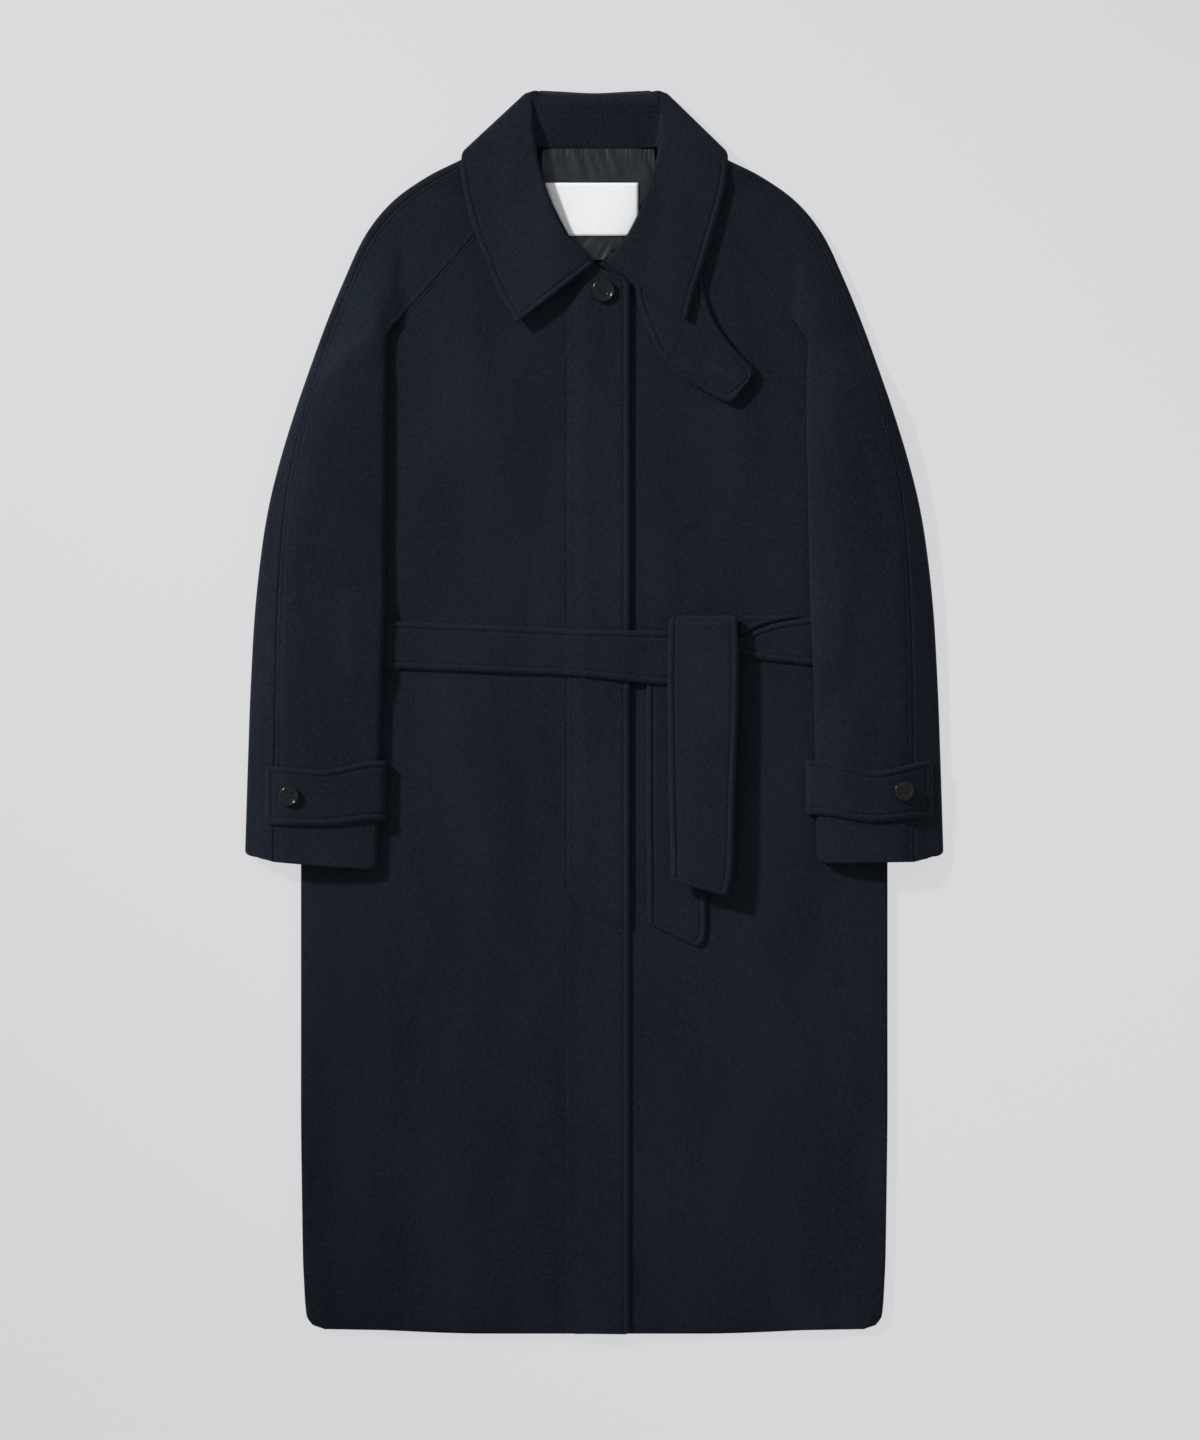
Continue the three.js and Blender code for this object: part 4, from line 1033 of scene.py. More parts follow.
def sleeve_front(side):
    """Front half of a sleeve, from the seam over the arm to the raglan seam or the inner fold."""
    flat = 22
    turns = (10, 20, 30, 42, 54, 66, 78, 88)

    def pair(c, r):
        row = SLEEVE_ROWS[r]
        ends = sleeve_row(side, row)
        rolled = ends["rolled"]
        across = ends["inner"] - ends["seam"]
        width = across.length - SEAM_GAP
        way = across.normalized()
        start = ends["seam"] + way * (SEAM_GAP / 2)
        roll = min(mix(4.5, TUBE / 2, rolled), width / 4)
        near = len(SEAM_LINES)
        lines = Lines(SEAM_LINES, flat, (0, 0.8))
        if c < near + flat:
            d = lines.at(c, width - roll)
            drop = inside_drop = 0
            inside = d
        else:
            turn = math.radians(turns[c - near - flat])
            d = width - roll + roll * math.sin(turn)
            drop = (TUBE / 2 - SEAM_GAP) * rolled * (1 - math.cos(turn))
            inside = width - roll + mix(roll, roll - WOOL, rolled) * math.sin(turn)
            inside_drop = (TUBE / 2 - WOOL - SEAM_GAP) * rolled * (1 - math.cos(turn))
        p = start + way * d
        q = start + way * inside
        relief = seam(d) + seam(width - d) * (1 - rolled) - cuff_rim(row)
        face = Vector((p.x, p.y, sleeve_top(side, p.x, p.y) - drop + relief))
        behind = sleeve_top(side, q.x, q.y) - WOOL - inside_drop + min(cuff_rim(row), 1.3)
        return face, Vector((q.x, q.y, behind))

    columns = len(SEAM_LINES) + flat + len(turns)
    obj, face = shell(f"sleeve_{side}_front", columns, len(SLEEVE_ROWS), pair, NAVY_WOOL)
    sew([line[SEAM_STITCH_LINE] for line in face[4:]])
    return obj


def sleeve_back(side):
    """Back half of a sleeve, from the seam over the arm round the outer fold and along underneath."""
    half = TUBE / 2
    over = (0, 0.18, 0.4, 0.7)
    turns = (90, 76, 62, 48, 32, 16, 0, -16, -32, -48, -62, -76, -90)
    flat = 16
    inner_turns = (20, 40, 58, 74, 88)

    def pair(c, r):
        row = SLEEVE_ROWS[r]
        ends = sleeve_row(side, row)
        rolled = ends["rolled"]
        over_across = ends["fold"] - ends["seam"]
        over_way = over_across.normalized()
        across = ends["inner"] - ends["fold"]
        width = across.length - SEAM_GAP / 2
        way = across.normalized()
        fold = ends["fold"]
        lip = cuff_rim(row)

        def heights(p, q, low, high):
            floor_p = sleeve_floor(side, p.x, p.y)
            floor_q = sleeve_floor(side, q.x, q.y)
            return Vector((p.x, p.y, floor_p + low)), Vector((q.x, q.y, floor_q + high))

        if c < len(over):
            reach = max(0.5, over_across.length - half - 0.6)
            d = over[c] * reach
            p = ends["seam"] + over_way * (d + SEAM_GAP / 2)
            crown = sleeve_crown(side, p.x, p.y)
            return heights(p, p, TUBE + crown + seam(d) - lip, TUBE + crown - WOOL)
        c -= len(over)
        if c < len(turns):
            turn = math.radians(turns[c])
            p = fold + way * (half * (1 - math.cos(turn)))
            q = fold + way * (half - (half - WOOL) * math.cos(turn))
            crown = sleeve_crown(side, p.x, p.y) * clamp01(math.sin(turn))
            high = half + half * math.sin(turn) + crown - lip * math.sin(turn)
            return heights(p, q, high, half + (half - WOOL) * math.sin(turn) + crown)
        c -= len(turns)
        if c < flat:
            p = fold + way * (half + (width - 2 * half) * (c + 1) / flat)
            return heights(p, p, lip, WOOL)
        turn = math.radians(inner_turns[c - flat])
        rise = (half - SEAM_GAP) * rolled * (1 - math.cos(turn))
        inside_rise = (half - WOOL - SEAM_GAP) * rolled * (1 - math.cos(turn))
        p = fold + way * (width - half + half * math.sin(turn))
        q = fold + way * (width - half + mix(half, half - WOOL, rolled) * math.sin(turn))
        return heights(p, q, rise + lip, WOOL + inside_rise)

    columns = len(over) + len(turns) + flat + len(inner_turns)
    return shell(f"sleeve_{side}_back", columns, len(SLEEVE_ROWS), pair, NAVY_WOOL)[0]


# Strips: belt, hanging ends and the throat tab
def long_edges(row):
    """The two ends of a row of a strip's table."""
    return Vector((row["left_x"], row["left_y"])), Vector((row["right_x"], row["right_y"]))


class Strip:
    """A strip given by its two long edges in a table, read by the distance along its middle."""

    def __init__(self, rows):
        self.rows = rows
        self.reach = [0.0]
        middles = [sum(long_edges(row), Vector((0, 0))) / 2 for row in rows]
        for one, other in zip(middles, middles[1:]):
            self.reach.append(self.reach[-1] + (other - one).length)
        self.length = self.reach[-1]

    def row_at(self, s):
        i = 0
        while i < len(self.rows) - 2 and self.reach[i + 1] < s:
            i += 1
        return i + clamp01((s - self.reach[i]) / (self.reach[i + 1] - self.reach[i]))

    def edges(self, s):
        row = self.row_at(s)
        here = {name: smooth(self.rows, name, row) for name in self.rows[0]}
        return *long_edges(here), here


def round_the_end(face, first, far):
    """The topstitching down one long edge of a strip, across its turned end and back up the other."""
    last = len(face) - 1 - STITCH_LINE
    path = [face[r][STITCH_LINE] for r in range(first, last + 1)]
    path += [face[last][c] for c in range(STITCH_LINE + 1, far)]
    path += [face[r][far] for r in range(last, first - 1, -1)]
    sew(path)


HIDDEN_END = (0, 0.8, 3, 8)
TAB_LIFT = 5
TAB_LIFT_FROM = 440
TAB_LIFT_OVER = 120
LAP_LIFT = 0.9
LAP_RAMP = 14


def strip(name, rows, floor, between, along, end="hidden", corner=5.0):
    """A strip of doubled cloth with turned, topstitched long edges, lying on what is under it."""
    shape = Strip(rows)
    lines = Lines(EDGE_LINES, between, EDGE_LINES)
    ends = {"hidden": HIDDEN_END, "turned": EDGE_LINES}
    cuts = Lines(HIDDEN_END, along, ends[end])

    def pair(c, r):
        s = cuts.at(r, shape.length)
        left, right, _ = shape.edges(s)
        width = (right - left).length
        d = lines.at(c, width)
        nearest = min(d, width - d)
        if end == "turned":
            from_end = shape.length - s
            near_side = nearest
            nearest = min(near_side, from_end)
            side_moved, end_moved = round_corner(near_side, from_end, corner)
            left, right, _ = shape.edges(shape.length - end_moved)
            d = side_moved if d < width / 2 else width - side_moved
        p = left.lerp(right, d / width)
        z = floor(p.x, p.y) + BELT_CLOTH + turned(nearest)
        return sheet_pair(p.x, p.y, z, BELT_CLOTH, nearest)

    obj, face = shell(name, lines.count, cuts.count, pair, NAVY_WOOL)
    far = lines.count - 1 - STITCH_LINE
    if end == "turned":
        round_the_end(face, 0, far)
    else:
        for column in (STITCH_LINE, far):
            sew([row[column] for row in face])
    return obj


def on_left_front(x, y):
    return left_front_top(x, y) + REST


def throat_tab_floor(x, y):
    """The free end of the tab stands a little off the coat."""
    return on_left_front(x, y) + TAB_LIFT * ease((TAB_LIFT_FROM - y) / TAB_LIFT_OVER)


def throat_tab_top(x, y):
    return throat_tab_floor(x, y) + BELT_CLOTH


def belt_right_floor(x, y):
    level = max(front_top(x, y) + REST, KNOT_HEIGHT if x > FRONT_EDGE_X else 0)
    over_edge = LAP_LIFT * ease((x - 6) / LAP_RAMP) * ease((52 - x) / LAP_RAMP)
    return mix(level, KNOT_HEIGHT, ease((x - 30) / 10)) + over_edge


ROLL_CORNER = 5
ROLL_STITCH_ROW = 8
END_CORNER = 5
END_SWELL = 0.8


def belt_end_front():
    """The front end comes up from under the belt, turns over its upper edge and hangs down."""
    shape = Strip(BELT_END_FRONT)
    first = BELT_END_FRONT[0]
    centre_z = first["z"] + BELT_CLOTH - KNOT_ROLL
    turns = [mix(-80, 84, k / 16) for k in range(17)]
    lines = Lines(EDGE_LINES, 14, EDGE_LINES)
    cuts = Lines((0, 3, 6), 54, EDGE_LINES)

    def pair(c, r):
        if r < len(turns):
            turn = math.radians(turns[r])
            width = first["right_x"] - first["left_x"]
            d = lines.at(c, width)
            nearest = min(d, width - d)
            pulled = ROLL_CORNER * max(0, 1 - nearest / 12) ** 2 * max(0, math.cos(turn)) ** 3
            x = first["left_x"] + d + (pulled if d < width / 2 else -pulled)
            outer = KNOT_ROLL + turned(nearest) - rim(nearest)
            inner = KNOT_ROLL - BELT_CLOTH + min(rim(nearest), 1.2)
            turned_points = []
            for radius in (outer, inner):
                y = first["left_y"] + radius * math.cos(turn)
                turned_points.append(Vector((x, y, centre_z + radius * math.sin(turn))))
            return tuple(turned_points)
        s = cuts.at(r - len(turns), shape.length)
        left, right, here = shape.edges(s)
        width = (right - left).length
        d = lines.at(c, width)
        near_side = min(d, width - d)
        nearest = min(near_side, shape.length - s)
        side_moved, end_moved = round_corner(near_side, shape.length - s, END_CORNER)
        left, right, here = shape.edges(shape.length - end_moved)
        p = left.lerp(right, (side_moved if d < width / 2 else width - side_moved) / width)
        swell = END_SWELL * math.sin(math.pi * d / width)
        return sheet_pair(p.x, p.y, here["z"] + BELT_CLOTH + turned(nearest) + swell, BELT_CLOTH, nearest)

    obj, face = shell("belt_end_front", lines.count, len(turns) + cuts.count, pair, NAVY_WOOL)
    round_the_end(face, ROLL_STITCH_ROW, lines.count - 1 - STITCH_LINE)
    return obj


def cuff_tab(side):
    """A cuff tab lies on the sleeve and turns round its inner fold."""
    facts = CUFF_TAB[side]
    sign = -1 if side == "right" else 1
    half = TUBE / 2
    turns = [mix(60, -34, k / 11) for k in range(12)]
    across = Lines(EDGE_LINES, 8, EDGE_LINES)
    along = Lines(EDGE_LINES, 26, (0, 3))
    fold_y = (facts["top"][2] + facts["bottom"][2]) / 2
    length = facts["end"] - read(INNER_FOLD[side], "y", "out", fold_y) - half + facts["slack"]

    def edge_at(heights, t):
        first, middle, last = heights
        return mix(first, middle, ease(t * 2)) if t < 0.5 else mix(middle, last, ease(t * 2 - 1))

    def pair(c, r):
        on_top = c < along.count
        s = along.at(c, length) if on_top else length
        t = s / length
        top_y = edge_at(facts["top"], t)
        bottom_y = edge_at(facts["bottom"], t)
        width = top_y - bottom_y
        d = across.at(r, width)
        y = top_y - d
        nearest = min(d, width - d, s)
        centre_out = read(INNER_FOLD[side], "y", "out", y) + half - facts["slack"]
        if on_top:
            side_moved, end_moved = round_corner(min(d, width - d), s, TAB_CORNER)
            y = top_y - side_moved if d < width / 2 else bottom_y + side_moved
            out = mix(facts["end"], centre_out, end_moved / length)
            z = sleeve_top(side, sign * out, y) + TAB_REST + BELT_CLOTH + turned(nearest)
            return sheet_pair(sign * out, y, z, BELT_CLOTH, nearest)
        turn = math.radians(turns[c - along.count])
        centre_z = sleeve_floor(side, sign * centre_out, y) + half
        points = []
        for radius in (half + TAB_REST + BELT_CLOTH + turned(nearest) - rim(nearest), half + TAB_REST):
            out = centre_out - radius * math.cos(turn)
            points.append(Vector((sign * out, y, centre_z + radius * math.sin(turn))))
        return tuple(points)

    obj, face = shell(f"cuff_tab_{side}", along.count + len(turns), across.count, pair, NAVY_WOOL)
    far = across.count - 1 - STITCH_LINE
    end = along.count + 6
    path = [face[STITCH_LINE][c] for c in range(end, STITCH_LINE, -1)]
    path += [face[r][STITCH_LINE] for r in range(STITCH_LINE, far + 1)]
    path += [face[far][c] for c in range(STITCH_LINE + 1, end + 1)]
    sew(path)
    return obj


# The collar
FALL_CROWN = 1.2
ROLL_ROUND = 3.0
ROLL_LINES = (0, 0.15, 0.5, 1.1, 1.9, 3.0, 6)
LEAF_FRONT_SPAN = 21
LEAF_CORNER = 4
FOLD_TUCK = 3.5
FOLD_TUCK_REACH = 8
LEAF_ROWS = [d / LEAF_FRONT_SPAN for d in EDGE_LINES] + steps(0.8, 6, 40) + [6]


def roll_rim(d):
    if d >= ROLL_ROUND:
        return 0
    return (ROLL_ROUND - 0.3) * (1 - math.sqrt(1 - (1 - d / ROLL_ROUND) ** 2))


def collar_fall():
    """The fall, from the tip of one leaf round behind the neck to the other tip."""
    lines = Lines(ROLL_LINES, 20, EDGE_LINES)
    turns = [mix(90, -90, k / 14) for k in range(15)]
    sections = [("leaf", "right", row) for row in LEAF_ROWS]
    sections += [("fold", "right", turn) for turn in turns]
    sections += [("behind", "", k / 4) for k in range(17)]
    sections += [("fold", "left", turn) for turn in reversed(turns)]
    sections += [("leaf", "left", row) for row in reversed(LEAF_ROWS)]

    def ends(place, side, value):
        if place == "leaf":
            rows, row = LEAF[side], value
        elif place == "behind":
            rows, row = COLLAR_BEHIND, value
        else:
            rows, row = [SHOULDER_FOLD[side]] * 2, 0
        found = {name: smooth(rows, name, row) for name in rows[0]}
        return Vector((found["roll_x"], found["roll_y"])), Vector((found["edge_x"], found["edge_y"])), found

    def pair(c, r):
        place, side, value = sections[r]
        roll, edge, found = ends(place, side, value)
        across = edge - roll
        width = across.length
        d = lines.at(c, width)
        share = d / width
        p = roll + across * share
        to_edge = width - d
        if place == "leaf":
            to_end = value * LEAF_FRONT_SPAN
            nearest = min(to_edge, to_end)
            if max(to_edge, to_end) < LEAF_CORNER:
                edge_moved, end_moved = round_corner(to_edge, to_end, LEAF_CORNER)
                roll, edge, found = ends(place, side, end_moved / LEAF_FRONT_SPAN)
                share = 1 - edge_moved / width
                p = roll.lerp(edge, share)
            z = mix(found["roll_z"], found["edge_z"], share) + FALL_CROWN * math.sin(math.pi * share)
            z += turned(nearest)
            face, behind = sheet_pair(p.x, p.y, z, WOOL, nearest)
            face.z -= roll_rim(d)
            return face, behind
        if place == "behind":
            low = rim(to_edge)
            return Vector((p.x, p.y, low)), Vector((p.x, p.y, WOOL - min(low, 1.3)))
        turn = math.radians(value)
        way = across.normalized()
        inward = Vector((way.y, -way.x))
        if inward.y > 0:
            inward.negate()
        half = mix(FOLD_HALF_AT_ROLL, FOLD_HALF_AT_EDGE, share)
        tuck = FOLD_TUCK * max(0, 1 - min(d, to_edge) / FOLD_TUCK_REACH) ** 2 * math.cos(turn)
        points = []
        for depth, thick in ((SHOULDER_FOLD_DEPTH, 0), (SHOULDER_FOLD_DEPTH - WOOL, WOOL)):
            q = p + inward * (SHOULDER_FOLD_DEPTH - depth * math.cos(turn) + tuck)
            rounding = rim(to_edge) + roll_rim(d)
            squeeze = rounding if thick == 0 else 0
            points.append(Vector((q.x, q.y, half + (half - thick - squeeze) * math.sin(turn))))
        return tuple(points)

    obj, face = shell("collar_fall", lines.count, len(sections), pair, NAVY_WOOL)
    far = lines.count - 1 - STITCH_LINE
    leaf_rows = len(LEAF_ROWS)
    right_rows = list(range(STITCH_LINE, leaf_rows))
    left_rows = [len(sections) - 1 - r for r in right_rows]
    for rows in (right_rows, left_rows):
        path = [face[rows[0]][c] for c in range(4, far)]
        path += [face[r][far] for r in rows]
        sew(path)
    return obj


STAND_SHARES = (
    0, 0.03, 0.08, 0.2, 0.35, 0.48, 0.56, 0.585, 0.6, 0.615, 0.64, 0.67, 0.685, 0.7,
    0.715, 0.74, 0.78, 0.82, 0.86, 0.9, 0.935, 0.965, 0.985, 1,
)
STAND_SEAMS = (0.6, 0.7)
STAND_SEAM_DEPTH = 0.45
STAND_SEAM_WIDTH = 0.012
STAND_ROLL_FROM = 0.72
STAND_EDGE_ROLL = 12
STAND_TUCK = 1.6
STAND_BACK_HALF = 62
STAND_BACK_Y = 588
STAND_SEWN = {"half": 58, "from_y": 585}


def collar_stand():
    """The stand, upright beside the neck and leaning back behind it, where its top rolls over."""
    mirrored = [{k: STAND_SHIFT[k] - v if k in STAND_SHIFT else v for k, v in row.items()} for row in STAND]
    rows = [*STAND, *reversed(mirrored[1:-1]), STAND_LEFT_END]
    split = 6
    count = (len(rows) - 1) * split + 1

    def middle(c, r):
        row = r / split
        at = {name: smooth(rows, name, row) for name in rows[0]}
        neck = Vector((at["neck_x"], at["neck_y"], at["neck_z"]))
        top = Vector((at["top_x"], at["top_y"], at["top_z"]))
        return neck.lerp(top, STAND_SHARES[c])

    def laid(c, r):
        """The middle of the cloth with its rolled top behind the neck and its tuck under the leaves."""
        here = middle(c, r)
        share = STAND_SHARES[c]
        past = max(0, (share - STAND_ROLL_FROM) / (1 - STAND_ROLL_FROM))
        aside = abs(here.x - STAND_SHIFT["top_x"] / 2)
        behind_neck = ease((here.y - STAND_BACK_Y) / 12) * ease((STAND_BACK_HALF - aside) / 10)
        roll = STAND_EDGE_ROLL * (1 - math.sqrt(1 - past * past)) * behind_neck
        tuck = math.copysign(STAND_TUCK, here.x) * ease(share / 0.6) * ease((582 - here.y) / 20)
        return here + Vector((tuck, 0, -roll))

    def pair(c, r):
        here = laid(c, r)
        along = middle(c, min(count - 1, r + 1)) - middle(c, max(0, r - 1))
        across = middle(min(len(STAND_SHARES) - 1, c + 1), r) - middle(max(0, c - 1), r)
        normal = along.cross(across).normalized()
        if normal.z < 0 and abs(here.x) < 40:
            normal.negate()
        lines = sum(bump(STAND_SHARES[c] - seam_share, STAND_SEAM_WIDTH) for seam_share in STAND_SEAMS)
        groove = STAND_SEAM_DEPTH * lines * ease((here.y - STAND_SEWN["from_y"]) / 8)
        return here - normal * (STAND_CLOTH / 2), here + normal * (STAND_CLOTH / 2 - groove)

    obj = shell("collar_stand", len(STAND_SHARES), count, pair, NAVY_WOOL)[0]
    for seam_share in STAND_SEAMS:
        column = STAND_SHARES.index(seam_share)
        run = [laid(column, r) + Vector((0, 0, STAND_CLOTH / 2 - 0.3)) for r in range(count)]
        sew([p for p in run if abs(p.x) < STAND_SEWN["half"] and p.y > STAND_SEWN["from_y"]])
    return obj


# The neck: lining and label
LINING_ROWS = 9
LINING_COLUMNS = 150
PLEAT = {"height": 0.8, "wide": 2.1, "long": 40, "from_y": 545, "over": 16}
DRAPE = {"height": 1.4, "wide": 9, "long": 55, "lean": 0.35, "from_y": 524, "over": 20}
NECK_FOLD = {"height": 0.9, "wide": 7, "long": 20, "lean": -0.5, "to_y": 490, "over": 12}


def lining_back():
    count = (len(LINING_PATCH) - 1) * LINING_ROWS + 1

    def wrinkle(facts, x, y, seed):
        across = (x + facts.get("lean", 0) * y) / facts["wide"]
        return facts["height"] * noise.noise(Vector((across, y / facts["long"], seed)))

    def pair(c, r):
        row = r / LINING_ROWS
        y = smooth(LINING_PATCH, "y", row)
        left, right = (smooth(LINING_PATCH, end, row) for end in ("left", "right"))
        x = mix(left, right, c / (LINING_COLUMNS - 1))
        pleats = wrinkle(PLEAT, x, y, 3) * ease((y - PLEAT["from_y"]) / PLEAT["over"])
        drapes = wrinkle(DRAPE, x, y, 7) * ease((y - DRAPE["from_y"]) / DRAPE["over"])
        neck_folds = wrinkle(NECK_FOLD, x, y, 1) * ease((NECK_FOLD["to_y"] - y) / NECK_FOLD["over"])
        z = LINING_TOP - 0.5 + pleats + drapes + neck_folds
        return Vector((x, y, z)), Vector((x, y, LINING_TOP - 1.0 + 0.02 + min(0, z - LINING_TOP + 0.5)))

    return shell("lining_back", LINING_COLUMNS, count, pair, SATIN)[0]


def label():
    columns, rows = 34, 22
    inner_stand = STAND[:9]

    def pair(c, r):
        y = mix(LABEL["top"], LABEL["bottom"], r / (rows - 1))
        reach = -read(inner_stand, "neck_y", "neck_x", y) - STAND_CLOTH
        x = mix(max(LABEL["left"], -reach), min(LABEL["right"], reach + LABEL_TUCK), c / (columns - 1))
        sag = 0.25 * math.sin(x / 13) * math.sin((y - 476) / 17) + 0.12 * bump(x - 3, 1.4)
        z = LINING_TOP + REST + 0.7 + sag
        edge = min(c, columns - 1 - c, r, rows - 1 - r)
        z -= 0.12 if edge == 0 else 0
        return Vector((x, y, z)), Vector((x, y, z - LABEL_CLOTH))

    return shell("label", columns, rows, pair, LABEL_WEAVE)[0]


# Buttons
BUTTON_RIM = table(
    "inset height",
    (1.2, 0.6), (0.3, 1.6), (0, 2.3), (0.2, 3.2), (0.8, 3.8), (1.6, 3.95), (2.4, 3.6), (3.0, 2.9),
    (3.7, 2.5), (4.3, 2.75), (4.9, 2.8),
)
BUTTON_BACK_SHARE = 0.55
BUTTON_DISH_SHARE = 0.3
BUTTON_DISH = 2.5
HOLE_PLACE_SHARE = 0.19
HOLE_RADIUS_SHARE = 0.095
DRILL_DEPTH = 3.6
THREAD_CROSS = (1.45, 0.42, 0.5)
THREAD_CROSS_Z = 2.85


def cut_holes(obj, radius):
    """Drills the four holes of a button and keeps the result in its mesh."""
    off = radius * HOLE_PLACE_SHARE
    hole = radius * HOLE_RADIUS_SHARE
    bm = bmesh.new()
    for i in (-1, 1):
        for j in (-1, 1):
            made = bmesh.ops.create_cone(
                bm, cap_ends=True, segments=16, radius1=hole, radius2=hole, depth=DRILL_DEPTH
            )
            bmesh.ops.translate(bm, verts=made["verts"], vec=(off * i, off * j, BUTTON_DISH))
    drill = linked("button drill", mesh_of("button drill", bm))
    boolean = obj.modifiers.new("holes", "BOOLEAN")
    boolean.operation = "DIFFERENCE"
    boolean.solver = "EXACT"
    boolean.object = drill
    drilled = bpy.data.meshes.new_from_object(obj.evaluated_get(bpy.context.evaluated_depsgraph_get()))
    obj.modifiers.clear()
    plain = obj.data
    obj.data = drilled
    bpy.data.meshes.remove(plain)
    bpy.data.objects.remove(drill)


def button(name, x, y, z, radius, tilt):
    """A turned four-hole button with a raised rim and a dished middle, sewn with a cross of thread."""
    profile = [(0, 0), (radius * BUTTON_BACK_SHARE, 0)]
    profile += [(radius - row["inset"], row["height"]) for row in BUTTON_RIM]
    profile += [(radius * BUTTON_DISH_SHARE, BUTTON_DISH), (0, BUTTON_DISH - 0.05)]
    bm = bmesh.new()
    chain = [bm.verts.new((r, 0, h)) for r, h in profile]
    edges = [bm.edges.new(ends) for ends in zip(chain, chain[1:])]
    bmesh.ops.spin(
        bm, geom=[*chain, *edges], cent=(0, 0, 0), axis=(0, 0, 1), angle=math.tau, steps=48, use_merge=True
    )
    bmesh.ops.remove_doubles(bm, verts=list(bm.verts), dist=0.001)
    bmesh.ops.recalc_face_normals(bm, faces=list(bm.faces))
    obj = finished(name, bm, HORN)
    cut_holes(obj, radius)
    bm = bmesh.new()
    bm.from_mesh(obj.data)
    cross = bmesh.new()
    long_share, width, height = THREAD_CROSS
    for turn in (math.pi / 4, -math.pi / 4):
        made = bmesh.ops.create_icosphere(cross, subdivisions=2, radius=1)
        verts = made["verts"]
        bmesh.ops.scale(cross, verts=verts, vec=(radius * HOLE_PLACE_SHARE * long_share, width, height))
        bmesh.ops.rotate(cross, verts=verts, cent=(0, 0, 0), matrix=Matrix.Rotation(turn, 3, "Z"))
        bmesh.ops.translate(cross, verts=verts, vec=(0, 0, THREAD_CROSS_Z))
    for shape in (bm, cross):
        verts = list(shape.verts)
        bmesh.ops.rotate(shape, verts=verts, cent=(0, 0, 0), matrix=Matrix.Rotation(tilt, 3, "Y"))
        bmesh.ops.translate(shape, verts=verts, vec=(x, y, z))
        bmesh.ops.scale(shape, verts=verts, vec=(MM, MM, MM))
    bm.to_mesh(obj.data)
    bm.free()
    finished(f"{name}_thread", cross, SEWING_THREAD)
    return obj


# Stitches
def sewn_stitches():
    """Every run of topstitching as short laid threads."""
    bm = bmesh.new()
    for run in RUNS:
        lengths = [0.0]
        for one, other in zip(run, run[1:]):
            lengths.append(lengths[-1] + (other - one).length)
        count = int(lengths[-1] / STITCH_PITCH)
        k = 0
        for n in range(count):
            s = (n + 0.5) * lengths[-1] / count
            while k < len(run) - 2 and lengths[k + 1] < s:
                k += 1
            share = clamp01((s - lengths[k]) / max(1e-6, lengths[k + 1] - lengths[k]))
            here = run[k].lerp(run[k + 1], share) + Vector((0, 0, STITCH_LIFT))
            thread_ball(bm, STITCH_SIZE, (run[k + 1] - run[k]).normalized(), here, 1)
    return finished("topstitching", bm, SEWING_THREAD)


def thread_ball(bm, size, way, centre, rounds):
    """A ball stretched to half-sizes, its length along a way, at a point in millimetres."""
    verts = bmesh.ops.create_icosphere(bm, subdivisions=rounds, radius=1)["verts"]
    turn = Vector((1, 0, 0)).rotation_difference(way).to_matrix()
    bmesh.ops.scale(bm, verts=verts, vec=size)
    bmesh.ops.rotate(bm, verts=verts, cent=(0, 0, 0), matrix=turn)
    bmesh.ops.translate(bm, verts=verts, vec=centre)
    bmesh.ops.scale(bm, verts=verts, vec=(MM, MM, MM))


def bar(bm, start, end, width, height):
    """A slim rounded bar from one point to another."""
    way = end - start
    thread_ball(bm, (way.length / 2, width / 2, height / 2), way.normalized(), (start + end) / 2, 2)


HOLE_PITCH = 0.85
HOLE_HALF = 0.6
HOLE_STITCH = 1.9
HOLE_END_STITCHES = 7
TAB_HOLE_START = Vector((110.75, 350.5))
TAB_HOLE_END = Vector((135.75, 334.5))


def buttonhole(start, end, top):
    """A keyhole buttonhole: a dark slit with whipped stitches round it."""
    way = (end - start).normalized()
    side = Vector((-way.y, way.x))
    length = (end - start).length

    def raised(p, lift):
        return Vector((p.x, p.y, top(p.x, p.y) + lift))

    bm = bmesh.new()
    bar(bm, raised(start + way, 0.05), raised(end - way, 0.05), 1.1, 0.5)

    def whip(foot, across, width):
        inner = raised(foot + across * HOLE_HALF, 0.3)
        outer = raised(foot + across * (HOLE_HALF + HOLE_STITCH), 0.1)
        bar(bm, inner, outer, width, 0.55)

    count = int(length / HOLE_PITCH)
    for k in range(count + 1):
        for sign in (-1, 1):
            whip(start + way * (length * k / count), side * sign, HOLE_PITCH * 0.9)
    for k in range(HOLE_END_STITCHES):
        angle = math.pi * (k + 0.5) / HOLE_END_STITCHES
        whip(end, way * math.sin(angle) + side * math.cos(angle), 0.8)
    return finished("throat_tab_buttonhole", bm, SEWING_THREAD)


# Assembly
def tab_top(side, x, y):
    return sleeve_top(side, x, y) + TAB_REST + BELT_CLOTH


